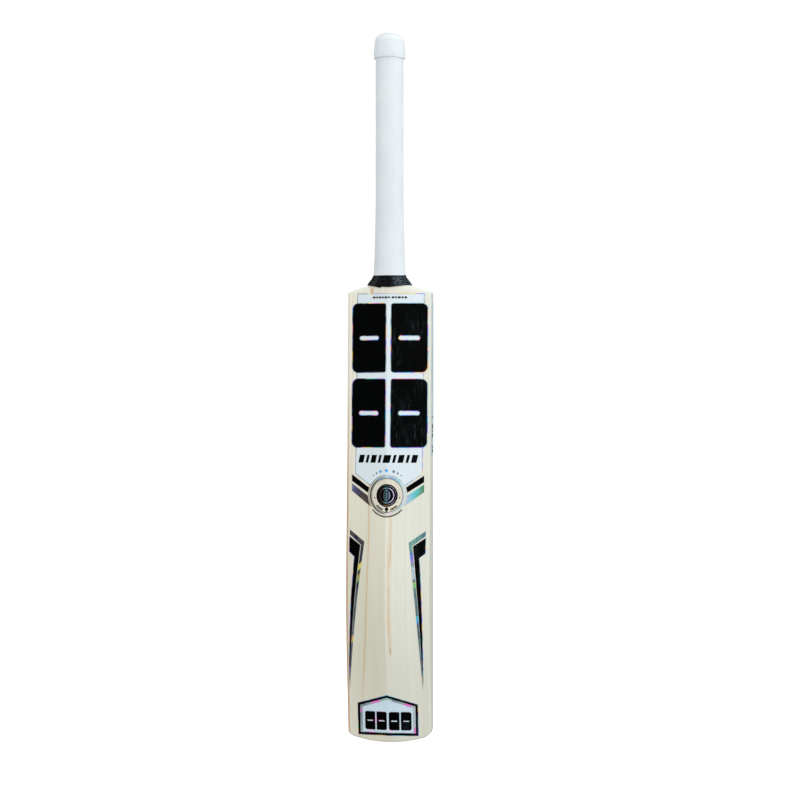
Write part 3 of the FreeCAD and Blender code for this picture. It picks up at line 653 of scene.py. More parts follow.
def offset(corners, amount):
    """Corners, each a place with a radius, moved outwards; radii follow and sharp tips are cut short."""
    points = [Vector(c[:2]) for c in corners]
    area = sum(a.x * b.y - b.x * a.y for a, b in zip(points, points[1:] + points[:1]))
    side = 1.0 if area > 0 else -1.0
    moved = []
    for i, (point, corner) in enumerate(zip(points, corners)):
        before = (point - points[i - 1]).normalized()
        after = (points[(i + 1) % len(points)] - point).normalized()
        out = [Vector((d.y, -d.x)) * side for d in (before, after)]
        shift = (out[0] + out[1]) * (amount / max(1 + out[0].dot(out[1]), 0.05))
        if shift.length > 2 * abs(amount):
            shift *= 2 * abs(amount) / shift.length
        convex = (before.x * after.y - before.y * after.x) * side > 0
        radius = corner[2] if len(corner) > 2 else 0.0
        if radius:
            radius = max(radius + (amount if convex else -amount), 0.05)
        moved.append((point.x + shift.x, point.y + shift.y, radius))
    return moved


def rounded(corners, turn_step=12.0):
    """A closed loop of points through corners, each a place with an optional radius."""
    loop = []
    for i, corner in enumerate(corners):
        point = Vector(corner[:2])
        radius = corner[2] if len(corner) > 2 else 0.0
        if radius <= 0:
            loop.append((point.x, point.y))
            continue
        before = (Vector(corners[i - 1][:2]) - point).normalized()
        after = (Vector(corners[(i + 1) % len(corners)][:2]) - point).normalized()
        half = before.angle(after) / 2
        centre = point + (before + after).normalized() * (radius / math.sin(half))
        first = point + before * (radius / math.tan(half)) - centre
        last = point + after * (radius / math.tan(half)) - centre
        turn = first.angle_signed(last)
        count = max(2, round(abs(math.degrees(turn)) / turn_step))
        for k in range(count + 1):
            angle = -turn * k / count
            c, s = math.cos(angle), math.sin(angle)
            loop.append((centre.x + first.x * c - first.y * s, centre.y + first.x * s + first.y * c))
    return loop


def circle(x, z, radius, count=72):
    return [(x + radius * math.cos(2 * math.pi * i / count), z + radius * math.sin(2 * math.pi * i / count))
            for i in range(count)]


def box_corners(left, bottom, right, top, radius=0.0):
    return [(left, bottom, radius), (right, bottom, radius), (right, top, radius), (left, top, radius)]


def densified(loop, step):
    """The loop with extra points, so that none of its sides is longer than step."""
    points = []
    for first, last in zip(loop, loop[1:] + loop[:1]):
        count = max(1, math.ceil(math.dist(first, last) / step))
        points += [(first[0] + (last[0] - first[0]) * k / count,
                    first[1] + (last[1] - first[1]) * k / count) for k in range(count)]
    return points


def inside(point, loops):
    """Even-odd test of a point against closed loops."""
    x, z = point
    odd = False
    for loop in loops:
        for (ax, az), (bx, bz) in zip(loop, loop[1:] + loop[:1]):
            if (az > z) != (bz > z) and x < ax + (z - az) * (bx - ax) / (bz - az):
                odd = not odd
    return odd


def triangulated(loops, step, grid, crease):
    """Points and triangles that fill the loops by the even-odd rule, with a row of edges along x = crease."""
    loops = [densified(loop, step) for loop in loops]
    points, edges = [], []
    for loop in loops:
        start = len(points)
        points += loop
        edges += [(start + i, start + (i + 1) % len(loop)) for i in range(len(loop))]
    low = [min(p[i] for p in points) for i in (0, 1)]
    high = [max(p[i] for p in points) for i in (0, 1)]
    if crease is not None and low[0] < crease < high[0]:
        count = max(2, math.ceil((high[1] - low[1]) / step))
        start = len(points)
        points += [(crease, low[1] + (high[1] - low[1]) * k / count) for k in range(count + 1)]
        edges += [(start + k, start + k + 1) for k in range(count)]
    for spacing, bottom, top in ((grid, low[1], min(high[1], NECK_START)), (NECK_GRID, NECK_START, high[1])):
        for x in np.arange(low[0] + spacing / 2, high[0], spacing):
            points += [(x, z) for z in np.arange(bottom + spacing / 2, top, spacing) if inside((x, z), loops)]
    flat, _, triangles, *_ = delaunay_2d_cdt([Vector(p) for p in points], edges, [], 0, 1e-5)
    flat = [(p.x, p.y) for p in flat]
    kept = [t for t in triangles
            if inside((sum(flat[i][0] for i in t) / 3, sum(flat[i][1] for i in t) / 3), loops)]
    return flat, kept


def sticker(name, loops, material, top, bottom=0.0, place=None, replaced=(), step=3.0, grid=9.0, crease=0.0):
    """A thin closed sheet over the loops, whose face stands off the wood by top."""
    place = place or BACK.place
    flat, triangles = triangulated(loops, step, grid, crease)
    used = sorted({i for t in triangles for i in t})
    index = {old: new for new, old in enumerate(used)}
    triangles = [[index[i] for i in t] for t in triangles]
    count = len(used)
    vertices = [place(*flat[i], top) for i in used] + [place(*flat[i], bottom) for i in used]
    rim = {}
    for a, b, c in triangles:
        for edge in ((a, b), (b, c), (c, a)):
            if (edge[1], edge[0]) in rim:
                del rim[edge[1], edge[0]]
            else:
                rim[edge] = True
    faces = triangles + [[i + count for i in reversed(t)] for t in triangles]
    faces += [[b, a, a + count, b + count] for a, b in rim]
    add_piece(name, vertices, faces, material, replaced, 12.0)


# ----------------------------------------------------------------------------------------------- stickers


def in_mm(node):
    """Lowest and highest corners of a CAD node, in millimetres."""
    low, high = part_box(node)
    return low / MM, high / MM


def outline(node):
    """Outline of a sticker in millimetres, read off the side of its CAD node that faces off the wood."""
    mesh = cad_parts[node].data
    places = [(round(v.co.x / MM, 2), round(v.co.z / MM, 2)) for v in mesh.vertices]
    sides = set()
    for face in mesh.polygons:
        if face.normal.y < -0.5:
            ring = [places[i] for i in face.vertices]
            sides |= {side for side in zip(ring, ring[1:] + ring[:1]) if side[0] != side[1]}
    following = {a: b for a, b in sides if (b, a) not in sides}
    start = min(following)
    loop, place = [start], following[start]
    while place != start:
        loop.append(place)
        place = following[place]
    kept = [loop[0]]
    for place, after in zip(loop[1:], loop[2:] + loop[:1]):
        along, aside = Vector(after) - Vector(kept[-1]), Vector(place) - Vector(kept[-1])
        if abs(along.normalized().cross(aside)) > STRAIGHT_WITHIN:
            kept.append(place)
    return kept


def label_panel():
    """White panel down the upper back, with a thin foil border."""
    panel = outline("label_panel")
    sticker("label_panel_film", [panel], "label_white", STICKER_LAYER, replaced=["label_panel"])
    sticker("label_panel_border", [rounded(offset(panel, 0.7))], "foil_line", FOIL_LAYER)


def slotted_block(left, bottom, right, top, radius, grow=0.0):
    """Outlines of a printed block: two upright plates side by side, each with a level pill slot."""
    middle, level = (left + right) / 2, (bottom + top) / 2
    width, height = right - left, top - bottom
    gap, thick, soft = width * 0.036, height * 0.036, radius * 0.35
    loops = []
    for outer, inner in ((left, middle - gap), (right, middle + gap)):
        plate = [(outer, bottom, radius), (inner, bottom, soft), (inner, top, soft), (outer, top, radius)]
        across = abs(inner - outer)
        ends = sorted((outer + math.copysign(across * 0.2, inner - outer),
                       inner - math.copysign(across * 0.2, inner - outer)))
        pill = box_corners(ends[0], level - thick, ends[1], level + thick, thick * 0.999)
        loops.append(rounded(offset(plate, grow) if grow else plate))
        loops.append(rounded(offset(pill, -grow) if grow else pill))
    return loops


def block_decals():
    """The two large black printed blocks, each with a foil outline round its edges and its slots."""
    for level in ("upper", "lower"):
        node = f"block_decal_{level}"
        low, high = in_mm(node)
        sides = (low.x, low.z, high.x, high.z, BLOCK_RADIUS)
        sticker(f"block_{level}_print", slotted_block(*sides), "print_black", BLOCK_LAYER, replaced=[node])
        sticker(f"block_{level}_foil", slotted_block(*sides, grow=0.85), "foil_line", BLOCK_FOIL_LAYER)


def slanted_bar(x, z, width, height, lean):
    """Corners of a bar with its foot at x and z, that leans over by lean."""
    return [(x, z, 0.3), (x + width, z, 0.3), (x + width + lean, z + height, 0.3),
            (x + lean, z + height, 0.3)]


# Row of slanted bars low on the label: widths, length of the row, inset from the left side, and how far its
# foot lies below the top of the label.
BAR_WIDTHS = [6.6, 3.3, 6.6, 3.3, 8.8, 3.3, 6.6, 3.3, 6.6]
BAR_ROW = 72.0
BAR_INSET = 3.0
BAR_DROP = 206.4

# Row of dashes in the middle at the top of the label; a width of 0 leaves a space.
DASH_WIDTHS = [3.4, 2.2, 2.9, 2.2, 3.4, 2.0, 0.0, 2.9, 2.0, 3.4, 2.2, 2.9]
DASH_GAP = 1.15
DASH_ROW_HALF = 21.0
DASH_DROP = 5.4
DASH_THICKNESS = 0.3

# Arc of lozenges over the badge: its radius, and each one's angle, half width, and whether it is bright.
LOZENGE_ARC = 30.2
LOZENGES = [(127, 0.9, False), (117.5, 1.3, False), (106.5, 1.9, True), (91, 2.1, True), (73.5, 1.8, False),
            (63, 1.3, False), (53.4, 0.9, False)]


def label_marks():
    """Rows of plain bars and dashes where a real label has its printing, and an arc of small lozenges."""
    gap = (BAR_ROW - sum(BAR_WIDTHS)) / (len(BAR_WIDTHS) - 1)
    low, high = in_mm("label_panel")
    bars, x = [], low.x + BAR_INSET
    for width in BAR_WIDTHS:
        bars.append(rounded(slanted_bar(x, high.z - BAR_DROP, width, 9.6, 2.2)))
        x += width + gap
    sticker("label_bars", bars, "print_black", PRINT_LAYER, STICKER_LAYER)
    dashes, x = [], (low.x + high.x) / 2 - DASH_ROW_HALF
    for width in DASH_WIDTHS:
        if width:
            dashes.append(rounded(slanted_bar(x, high.z - DASH_DROP, width, 2.2, 0.4)))
        x += width + DASH_GAP
    sticker("label_dashes", dashes, "print_black", STICKER_LAYER + DASH_THICKNESS, STICKER_LAYER, step=1.0)
    dark, bright = [], []
    for angle, size, vivid in LOZENGES:
        x = BADGE.middle + LOZENGE_ARC * BADGE.squeeze * math.cos(math.radians(angle))
        z = BADGE.height + LOZENGE_ARC * math.sin(math.radians(angle))
        lozenge = rounded([(x, z - size * 1.2), (x + size, z), (x, z + size * 1.2), (x - size, z)])
        (bright if vivid else dark).append(lozenge)
    sticker("label_lozenges_dark", dark, "ink_slate", PRINT_LAYER, STICKER_LAYER)
    sticker("label_lozenges_foil", bright, "ink_azure", PRINT_LAYER, STICKER_LAYER)


class Badge:
    """Where the round badge lies.  It bends over the ridge, so it looks narrower than high from behind."""

    def __init__(self):
        low, high = in_mm("roundel_badge")
        self.middle, self.height = (low.x + high.x) / 2, (low.z + high.z) / 2
        self.radius = (high.z - low.z) / 2
        self.squeeze = (high.x - low.x) / (high.z - low.z)

    def place(self, x, z, rise):
        """The point of the back that a place on the flat badge comes to lie on."""
        return BACK.place(self.middle + x * self.squeeze, z, rise)


def badge_sticker(name, loops, material, top, bottom, replaced=(), step=2.0):
    """A printed layer of the badge, drawn flat about x = 0."""
    crease = -BADGE.middle / BADGE.squeeze
    sticker(name, loops, material, top, bottom, BADGE.place, replaced, step, 5.0, crease)


def badge_ring(name, outer, inner, material, top, bottom, replaced=()):
    """A flat ring or disc of the round badge."""
    loops = [circle(0.0, BADGE.height, outer)]
    if inner:
        loops.append(circle(0.0, BADGE.height, inner))
    badge_sticker(name, loops, material, top, bottom, replaced)


def arc_dashes(radius, thick, start, end, widths, gap):
    """Short dashes along an arc of the badge, from the angle start to end in degrees."""
    loops, angle = [], start
    centre = BADGE.height
    for width in widths:
        span = min(math.degrees(width / radius), end - angle)
        if span <= 0:
            break
        turns = np.radians(np.linspace(angle, angle + span, max(4, math.ceil(span / 4))))
        outer = [((radius + thick) * math.cos(a), centre + (radius + thick) * math.sin(a)) for a in turns]
        inner = [(radius * math.cos(a), centre + radius * math.sin(a)) for a in reversed(turns)]
        loops.append(outer + inner)
        angle += span + math.degrees(gap / radius)
    return loops


# Rings and disc of the badge: outer and inner radius.
BADGE_BAND = (23.0, 21.3)
BADGE_LINE = (20.9, 20.1)
BADGE_DISC = (13.9, 0.0)
BADGE_DISC_LINE = (12.1, 11.75)
BADGE_DISC_RING = (9.6, 8.5)
# Small marks between the line and the disc: radius at which they start, height, and gap.
BADGE_MARK_RADIUS = 16.8
BADGE_MARK_HEIGHT = 2.2
BADGE_MARK_GAP = 0.35


def roundel():
    """Round badge: cream ground with foil and dark rings, and a black disc with a leaf in foil."""
    rim, centre = BADGE.radius, BADGE.height
    badge_ring("badge_ground", rim, 0.0, "badge", BADGE_GROUND_LAYER, 0.0, replaced=["roundel_badge"])
    badge_sticker("badge_rim_line", arc_dashes(rim - 0.85, 0.75, -33, 213, [2 * math.pi * rim * 0.68], 1.0),
                  "badge_foil", BADGE_RING_LAYER, BADGE_GROUND_LAYER)
    badge_ring("badge_band", *BADGE_BAND, "badge_foil", BADGE_RING_LAYER, BADGE_GROUND_LAYER)
    hatch = arc_dashes(21.5, 1.3, 130, 262, [0.55] * 60, 0.5)
    badge_sticker("badge_hatch", hatch, "print_black", BADGE_MARK_LAYER, BADGE_RING_LAYER, step=3.0)
    badge_ring("badge_line_outer", *BADGE_LINE, "badge_line", BADGE_RING_LAYER, BADGE_GROUND_LAYER)
    badge_ring("badge_disc", *BADGE_DISC, "print_black", BADGE_DISC_LAYER, BADGE_GROUND_LAYER)
    badge_ring("badge_disc_line", *BADGE_DISC_LINE, "leaf_foil", BADGE_LEAF_LAYER, BADGE_DISC_LAYER)
    badge_ring("badge_disc_ring", *BADGE_DISC_RING, "leaf_foil", BADGE_LEAF_LAYER, BADGE_DISC_LAYER)
    badge_sticker("badge_leaf", leaf(centre), "leaf_foil", BADGE_LEAF_LAYER, BADGE_DISC_LAYER, step=1.5)
    marks = [circle(side * 16.35, centre - 2.85, 0.85, 16) for side in (-1, 1)]
    for start, end, widths in ((222, 254, [1.8, 1.0, 1.8, 1.3, 1.7]), (286, 316, [1.3, 1.8, 1.0, 1.8, 1.3])):
        marks += arc_dashes(BADGE_MARK_RADIUS, BADGE_MARK_HEIGHT, start, end, widths, BADGE_MARK_GAP)
    marks.append(circle(0.2, centre - 16.6, 2.2, 24))
    marks.append(rounded([(-1.2, centre - 19.6), (0.2, centre - 21.1), (1.6, centre - 19.6),
                          (0.2, centre - 18.7)]))
    badge_sticker("badge_marks", marks, "print_black", BADGE_MARK_LAYER, BADGE_GROUND_LAYER)
    outside = arc_dashes(rim + 0.1, 1.5, 223, 318, [1.8, 1.0, 1.8, 1.3, 1.8, 1.0] * 5, 0.4)
    badge_sticker("badge_outer_dashes", outside, "print_black", BADGE_GROUND_LAYER, 0.0)


def leaf(centre):
    """A leaf outline with a midrib and side veins."""
    def blade(half_width, half_height):
        """Pointed oval."""
        radius = (half_width ** 2 + half_height ** 2) / (2 * half_width)
        reach = math.asin(half_height / radius)
        turns = np.linspace(-reach, reach, 14)
        right = [(half_width - radius + radius * math.cos(a), centre + radius * math.sin(a)) for a in turns]
        return right + [(-x, z) for x, z in reversed(right[1:-1])]

    loops = [blade(4.4, 7.4), blade(3.8, 6.4), rounded(box_corners(-0.4, centre - 5.2, 0.4, centre + 5.2))]
    for height in (-3.6, -1.2, 1.2):
        for side in (-1, 1):
            x, z = 0.75 * side, centre + height
            loops.append([(x, z), (x, z + 0.7), (x + 2.0 * side, z + 2.4), (x + 2.0 * side, z + 1.7)])
    return loops


def stripes():
    """Chevron stripes beside the badge and long flashes on the lower blade, on both sides."""
    kinds = {"chevron_black": "print_black", "chevron_foil": "foil", "flash_foil": "foil",
             "flash_black": "print_black"}
    for side, sign in (("right", 1.0), ("left", -1.0)):
        for kind, slot in kinds.items():
            node = f"{kind}_{side}"
            sticker(f"{node}_film", [outline(node)], slot, STICKER_LAYER, replaced=[node])
        rim = [(x + 0.6 * sign, z + 0.1) for x, z in outline(f"flash_black_{side}")]
        sticker(f"flash_black_{side}_rim", [rim], "foil_line", FOIL_LAYER)


# The toe label: width of its frame, inset of its panel, and its two printed blocks: left side of each, width,
# foot and top above the label's foot, and rounding.
TOE_FRAME = 2.7
TOE_PANEL_INSET = 5.9
TOE_BLOCK_LEFT = {"left": -28.2, "right": 1.9}
TOE_BLOCK_WIDTH = 27.3
TOE_BLOCK_FOOT = 6.5
TOE_BLOCK_TOP = 29.0
TOE_BLOCK_RADIUS = 2.6


def toe_label():
    """House-shaped label: black frame, foil band, pale panel and two small printed blocks."""
    house = outline("toe_label")
    low, high = in_mm("toe_label")
    middle, half, apex = (low.x + high.x) / 2, (high.x - low.x) / 2, high.z
    left_top, right_top = (max(z for x, z in house if abs(x - side) < 0.5) for side in (low.x, high.x))
    shoulder, turn = (left_top + right_top) / 2, (left_top - right_top) / (2 * half)
    foot = low.z + turn * half

    def set_over(corners):
        """The corners, drawn about x = 0, put in the label's place and turned as it is."""
        return [(c[0] + middle, c[1] - c[0] * turn) + tuple(c[2:]) for c in corners]

    side = half - TOE_PANEL_INSET
    panel = set_over([(0.0, apex - 5.2), (-side, shoulder - 4.3), (-side, foot + 3.6), (side, foot + 3.6),
                      (side, shoulder - 4.3)])
    sticker("toe_label_rim", [rounded(offset(house, 0.6))], "foil_line", FOIL_LAYER)
    sticker("toe_label_frame", [rounded(house)], "print_black", STICKER_LAYER, replaced=["toe_label"])
    sticker("toe_label_band", [rounded(offset(house, -TOE_FRAME))], "toe_foil", TOE_BAND_LAYER, STICKER_LAYER)
    sticker("toe_label_panel", [rounded(panel)], "toe_print", TOE_PANEL_LAYER, STICKER_LAYER)
    for name, left in TOE_BLOCK_LEFT.items():
        sides = (left, foot + TOE_BLOCK_FOOT, left + TOE_BLOCK_WIDTH, foot + TOE_BLOCK_TOP, TOE_BLOCK_RADIUS)
        plates, edges = ([set_over(loop) for loop in slotted_block(*sides, grow=grow)] for grow in (0.0, 0.4))
        sticker(f"toe_block_{name}_foil", edges, "toe_foil", TOE_FOIL_LAYER, TOE_PANEL_LAYER)
        sticker(f"toe_block_{name}_print", plates, "print_black", TOE_PRINT_LAYER, TOE_PANEL_LAYER)


# Bars of the edge labels: height above the label's foot, and length.
EDGE_BARS = [(4.0, 3.2), (9.5, 2.0), (22.0, 4.5), (28.5, 2.4), (33.0, 5.0), (46.0, 1.6)]
EDGE_LABEL_LEAN = 5.0


def edge_labels():
    """Long stickers on the two edges, with a few small bars."""
    for side, sign in (("right", 1.0), ("left", -1.0)):
        low, high = in_mm(f"edge_label_{side}")
        wood = low.x if sign > 0 else high.x

        def on_edge(y, z, rise, wood=wood, sign=sign):
            return (wood + sign * rise, y, z)

        film = [(high.y, low.z, 2.0), (high.y, high.z, 2.0), (low.y + EDGE_LABEL_LEAN, high.z, 2.0),
                (low.y, low.z, 2.0)]
        sticker(f"edge_label_{side}_film", [rounded(film)], "edge_white", EDGE_FILM_LAYER, place=on_edge,
                replaced=[f"edge_label_{side}"], crease=None)
        bars = [rounded(box_corners(low.y + 7.0, low.z + rise, high.y - 5.0, low.z + rise + length, 0.6))
                for rise, length in EDGE_BARS]
        sticker(f"edge_label_{side}_bars", bars, "print_black", EDGE_PRINT_LAYER, EDGE_FILM_LAYER,
                place=on_edge, crease=None)


# ------------------------------------------------------------------------------------------- grip and tape


def swept(rings):
    """Faces of a closed tube whose section runs through rings of equal size and back to the first."""
    count, columns = len(rings), len(rings[0])
    vertices = [point for ring in rings for point in ring]
    faces = []
    for i in range(count):
        following = (i + 1) % count
        for j in range(columns):
            k = (j + 1) % columns
            faces.append((i * columns + j, i * columns + k,
                          following * columns + k, following * columns + j))
    return vertices, faces


def around(radius, turn, z):
    """Point at this distance and angle from the handle's axis; angle 0 looks out of the back."""
    return (radius * math.sin(turn), HANDLE_AXIS - radius * math.cos(turn), z)


def profile_radius(profile, z):
    """Radius of a profile at height z, its corners eased by averaging over a few millimetres."""
    heights, radii = zip(*profile)
    return float(np.mean(np.interp(z + np.linspace(-4.0, 4.0, 9), heights, radii)))


def rib_wave(column):
    """Cross-section of one rib, from 0 in the groove to 1 on the crest."""
    return (0.5 - 0.5 * math.cos(2 * math.pi * column / COLUMNS_PER_RIB)) ** 0.8


def rib_rows():
    """Heights of the rings of the grip with the turn of the ribs and the strength of the relief at each."""
    rows, turn, lean = [], 0.0, 1.0
    for low, high in zip(RIB_BANDS, RIB_BANDS[1:]):
        tall = high - low
        count = max(8, round(tall / 2.0))
        for step in sorted({0.0, 0.35, 0.8, *np.linspace(1.5, tall - 1.5, count), tall - 0.8, tall - 0.35}):
            strength = 0.25 + 0.75 * min(min(step, tall - step) / 0.8, 1.0)
            rows.append((low + step, turn + lean * step / RIB_CLIMB, strength))
        turn += lean * tall / RIB_CLIMB
        lean = -lean
    rows.append((RIB_TOP, turn, 0.3))
    return rows


def paint_groove_shade(piece, first_ring, last_ring):
    """Give the faces between the ribs the painted shade of the grooves, from one ring of points to another.
    """
    piece.data.materials.append(MATERIALS["painted_groove_shade"])
    for face in piece.data.polygons[first_ring * COLUMNS:last_ring * COLUMNS]:
        if face.index % COLUMNS_PER_RIB in (0, COLUMNS_PER_RIB - 1):
            face.material_index = 1


def grip():
    """Rubber sleeve with fine diagonal ribs that change lean from band to band, and a plain lip below."""
    turns = [2 * math.pi * j / COLUMNS for j in range(COLUMNS)]
    foot = RIB_FOOT - GRIP_LIP
    rings = []
    for rise, grow in ((0.0, -0.25), (0.2, 0.12), (0.7, 0.28), (1.1, 0.22), (1.35, -0.05)):
        z = foot + rise
        rings.append([around(profile_radius(GRIP_PROFILE, z) + grow, t, z) for t in turns])
    lip_rings = len(rings)
    rows = rib_rows()
    for z, twist, strength in rows:
        base = profile_radius(GRIP_PROFILE, z) - 0.04
        rings.append([around(base + RIB_HEIGHT * strength * (rib_wave(j) - 0.5), t + twist, z)
                      for j, t in enumerate(turns)])
    top_turn = rows[-1][1]
    for z in (RIB_TOP + 18.0, GRIP_TOP):
        rings.append([around(GRIP_TOP_RADIUS, t + top_turn, z) for t in turns])
    for z in np.linspace(GRIP_TOP, foot, 14):
        rings.append([around(profile_radius(GRIP_PROFILE, min(z, RIB_TOP)) - GRIP_WALL, t, z) for t in turns])
    vertices, faces = swept(rings)
    piece = add_piece("grip_sleeve", vertices, faces, "grip_rubber", ["grip"], 60.0)
    # The faces in the grooves between the ribs get a painted shade.
    paint_groove_shade(piece, lip_rings, lip_rings + len(rows) - 1)


def end_ring():
    """Thick ribbed ring over the end of the handle, with a toothed, arched lower edge and a domed top."""
    turns = [2 * math.pi * j / COLUMNS for j in range(COLUMNS)]
    heights, radii = zip(*RING_PROFILE)
    foot, top = heights[0], heights[-1]

    def ring(radius, z, ribs, teeth):
        """Ring of points; it rises at front and back near the foot, and tips towards +X near the top."""
        twist = -(z - foot) / RING_RIB_CLIMB
        arch = 1.5 * max(0.0, 1 - (z - foot) / 9.0)
        tip = 0.5 * min(1.0, max(0.0, (z - 852.0) / (top - 852.0)))
        points = []
        for j, t in enumerate(turns):
            wave = rib_wave(j)
            turn = t + twist
            lift = arch * math.cos(turn) ** 2 - teeth * (wave - 0.4) - tip * (1 + math.sin(turn))
            points.append(around(radius + RING_RIB_HEIGHT * ribs * (wave - 0.5), turn, z + lift))
        return points

    rings = []
    side_heights = np.linspace(840.5, 862.0, 14)
    for z in [foot, 838.9, 839.5, *side_heights, 863.5, 865.0, 866.5]:
        ribs = min(1.0, max(0.0, (865.5 - z) / 3.0))
        rings.append(ring(float(np.interp(z, heights, radii)), z, ribs, 0.7 * max(0.0, (842.0 - z) / 3.4)))
    for z, radius in RING_PROFILE[-3:]:
        rings.append(ring(radius, z, 0.0, 0.0))
    for z, radius in ((869.7, RING_BORE), (865.4, RING_BORE), (865.3, 14.5), (864.4, 15.6), (863.3, 16.0),
                      (862.4, 17.0), (850.0, 17.3), (839.4, 17.4)):
        rings.append(ring(radius, z, 0.0, 0.0))
    vertices, faces = swept(rings)
    piece = add_piece("grip_end_ring_ribbed", vertices, faces, "ring_rubber", ["grip_end_ring"], 50.0)
    # The faces in the grooves between the ribs get a painted shade.
    paint_groove_shade(piece, 2, 2 + len(side_heights))


def tape_foot(turn):
    """Height of the lower edge of the tape: lower front and back than at the sides, with a loose corner."""
    foot = 557.6 + 3.0 * math.sin(turn) ** 2
    flap_from, flap_to = math.radians(-80), math.radians(-27)
    if flap_from < turn < flap_to:
        foot -= 1.5 * (turn - flap_from) / (flap_to - flap_from)
    return foot


def tape():
    """Stretched vinyl tape over the neck, creased, with the edge of a second turn and a loose corner."""
    covering = cad_tree("collar_tape")
    columns, rows = 224, 34
    top = in_mm("collar_tape")[1].z - 0.2
    turns = [2 * math.pi * j / columns - math.pi for j in range(columns)]

    def outer_radius(turn, z):
        start = Vector(around(60.0, turn, z)) * MM
        hit = covering.ray_cast(start, Vector((0.0, HANDLE_AXIS * MM, z * MM)) - start)[0]
        return math.hypot(hit.x / MM, hit.y / MM - HANDLE_AXIS)

    def crease(turn, z):
        """Wrinkles that run round the neck and slant a little."""
        pull = noise.noise(Vector((turn * 2.1, z * 0.42 + turn * 0.9, 3.0)))
        pucker = noise.noise(Vector((turn * 7.0, z * 0.8 - turn * 2.0, 8.0)))
        lap = 0.22 if z < 566.5 + 1.6 * math.sin(turn + 0.6) else 0.0
        return 0.30 * pull + 0.16 * pucker + lap - 0.1

    outer, inner = [], []
    for i in range(rows + 1):
        share = i / rows
        ring_out, ring_in = [], []
        for turn in turns:
            foot = tape_foot(turn)
            z = foot + (top - foot) * share
            radius = outer_radius(turn, z)
            edge = min(share, 1 - share) * rows
            ring_out.append(around(radius + crease(turn, z) - (0.25 if edge < 0.5 else 0.0), turn, z))
            ring_in.append(around(radius - 0.9, turn, z))
        outer.append(ring_out)
        inner.append(ring_in)
    vertices, faces = swept(outer + inner[::-1][::6] + [inner[0]])
    add_piece("collar_tape_wrap", vertices, faces, "tape", ["collar_tape"], 50.0)


# ---------------------------------------------------------------------------------------- studio and camera

# The camera looks level at the ridged back, turned a little towards +X.
CAMERA_TURN = 9.0
CAMERA_DISTANCE = 3.04
CAMERA_HEIGHT = 0.4197
CAMERA_ASIDE = 0.0141
CAMERA_LENS = 111.7


def look_at(thing, place, target):
    thing.location = place
    thing.rotation_euler = (Vector(target) - Vector(place)).to_track_quat("-Z", "Y").to_euler()


def add_camera():
    turn = math.radians(CAMERA_TURN)
    across = Vector((math.cos(turn), math.sin(turn), 0.0))
    away = Vector((math.sin(turn), -math.cos(turn), 0.0))
    target = Vector((0.0, 0.0, CAMERA_HEIGHT)) + across * CAMERA_ASIDE
    data = bpy.data.cameras.new("camera")
    data.lens = CAMERA_LENS
    data.sensor_width = 36.0
    camera = bpy.data.objects.new("camera", data)
    bpy.context.scene.collection.objects.link(camera)
    look_at(camera, target + away * CAMERA_DISTANCE, target)
    bpy.context.scene.camera = camera


def soft_box(name, azimuth, distance, height, size, power, aim=0.45, tint=(1.0, 1.0, 1.0)):
    """Rectangular soft light; azimuth turns from the back of the bat (-Y) towards +X."""
    data = bpy.data.lights.new(name, "AREA")
    data.shape = "RECTANGLE"
    data.size, data.size_y = size
    data.energy = power
    data.color = tint
    lamp = bpy.data.objects.new(name, data)
    bpy.context.scene.collection.objects.link(lamp)
    turn = math.radians(azimuth)
    look_at(lamp, (distance * math.sin(turn), -distance * math.cos(turn), height), (0.0, 0.0, aim))


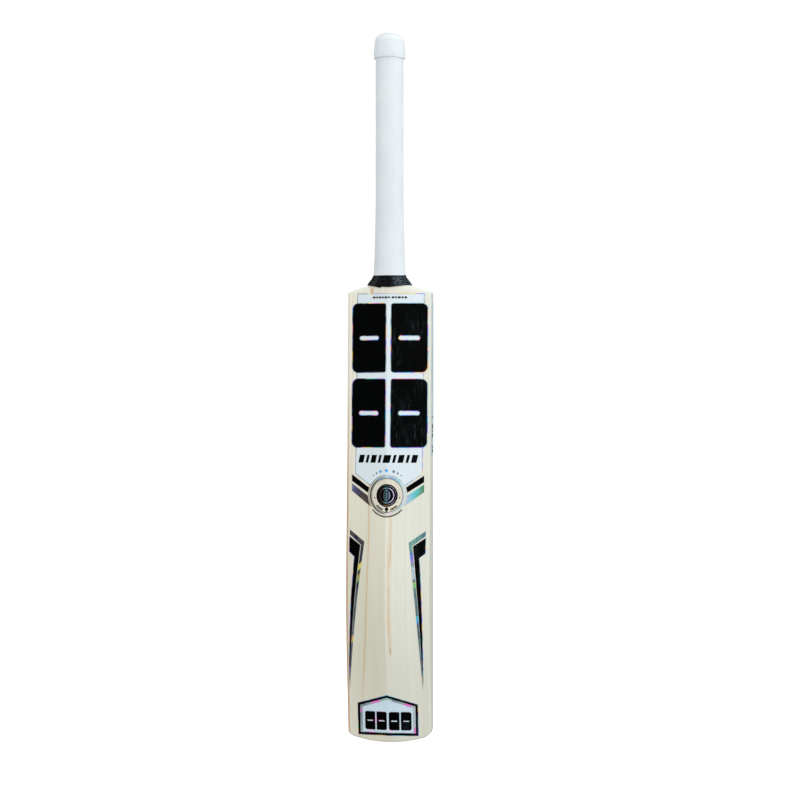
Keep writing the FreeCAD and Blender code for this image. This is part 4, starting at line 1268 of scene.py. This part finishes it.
def add_lights():
    """A soft key from the right, a small one above, cool ones from both sides, and an even pale surround."""
    soft_box("key_light", 42.0, 2.1, 1.35, (0.9, 1.3), 15.0, 0.5)
    soft_box("top_light", 10.0, 0.9, 2.2, (1.0, 1.0), 6.0, 0.6)
    soft_box("side_light", 84.0, 1.6, 0.8, (0.5, 1.4), 3.6, 0.45, (0.70, 0.90, 1.0))
    soft_box("fill_light", -78.0, 1.8, 0.9, (0.6, 1.6), 4.0, 0.5, (0.95, 0.98, 1.0))
    world = bpy.data.worlds.new("studio")
    bpy.context.scene.world = world
    world.use_nodes = True
    tree = world.node_tree
    path = tree.nodes.new("ShaderNodeLightPath")
    gloss = tree.nodes.new("ShaderNodeMix")
    gloss.inputs[2].default_value = 0.68
    gloss.inputs[3].default_value = 0.12
    seen = tree.nodes.new("ShaderNodeMix")
    seen.inputs[3].default_value = 1.05
    tree.links.new(path.outputs["Is Glossy Ray"], gloss.inputs[0])
    tree.links.new(path.outputs["Is Camera Ray"], seen.inputs[0])
    tree.links.new(gloss.outputs[0], seen.inputs[2])
    background = tree.nodes["Background"]
    background.inputs["Color"].default_value = (0.98, 1.0, 1.0, 1.0)
    tree.links.new(seen.outputs[0], background.inputs["Strength"])
    bpy.context.scene.view_settings.view_transform = "Standard"


def add_floor():
    """Plain white studio floor."""
    mesh = bpy.data.meshes.new("floor")
    reach = 30.0
    mesh.from_pydata([(-reach, -reach, 0), (reach, -reach, 0), (reach, reach, 0), (-reach, reach, 0)], [],
                     [(0, 1, 2, 3)])
    floor = bpy.data.objects.new("floor", mesh)
    bpy.context.scene.collection.objects.link(floor)
    s = Shader("floor", Roughness=0.9, Emission_Strength=0.62, Specular_IOR_Level=0.0)
    s.surface.inputs["Emission Color"].default_value = (1.0, 1.0, 1.0, 1.0)
    s.colour(s.ramp(s.noise((0.002, 0.002, 0.0), 2.0), (0.3, 0.86), (0.7, 0.9)))
    mesh.materials.append(s.material)
    floor.visible_diffuse = False
    floor.visible_glossy = False


def finish_cad_nodes():
    """Procedural finishes on the CAD nodes that stay: blade, cane, springs and twine."""
    finishes = {"blade": "willow", "twine_binding": "twine"}
    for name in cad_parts:
        if name.startswith("cane_"):
            finishes[name] = "cane"
        elif name.startswith("rubber_spring_"):
            finishes[name] = "spring_rubber"
    for name, slot in finishes.items():
        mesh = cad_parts[name].data
        mesh.materials.clear()
        mesh.materials.append(MATERIALS[slot])


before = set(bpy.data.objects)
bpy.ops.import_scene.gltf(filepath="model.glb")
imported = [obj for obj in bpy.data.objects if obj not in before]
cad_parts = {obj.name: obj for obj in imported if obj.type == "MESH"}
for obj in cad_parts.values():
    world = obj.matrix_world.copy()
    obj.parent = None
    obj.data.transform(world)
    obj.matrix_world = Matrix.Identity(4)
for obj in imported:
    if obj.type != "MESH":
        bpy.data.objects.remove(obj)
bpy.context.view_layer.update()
MATERIALS = make_materials()
BACK = Back()
BADGE = Badge()

finish_cad_nodes()
label_panel()
block_decals()
label_marks()
roundel()
stripes()
toe_label()
edge_labels()
grip()
end_ring()
tape()
add_floor()
add_lights()
add_camera()
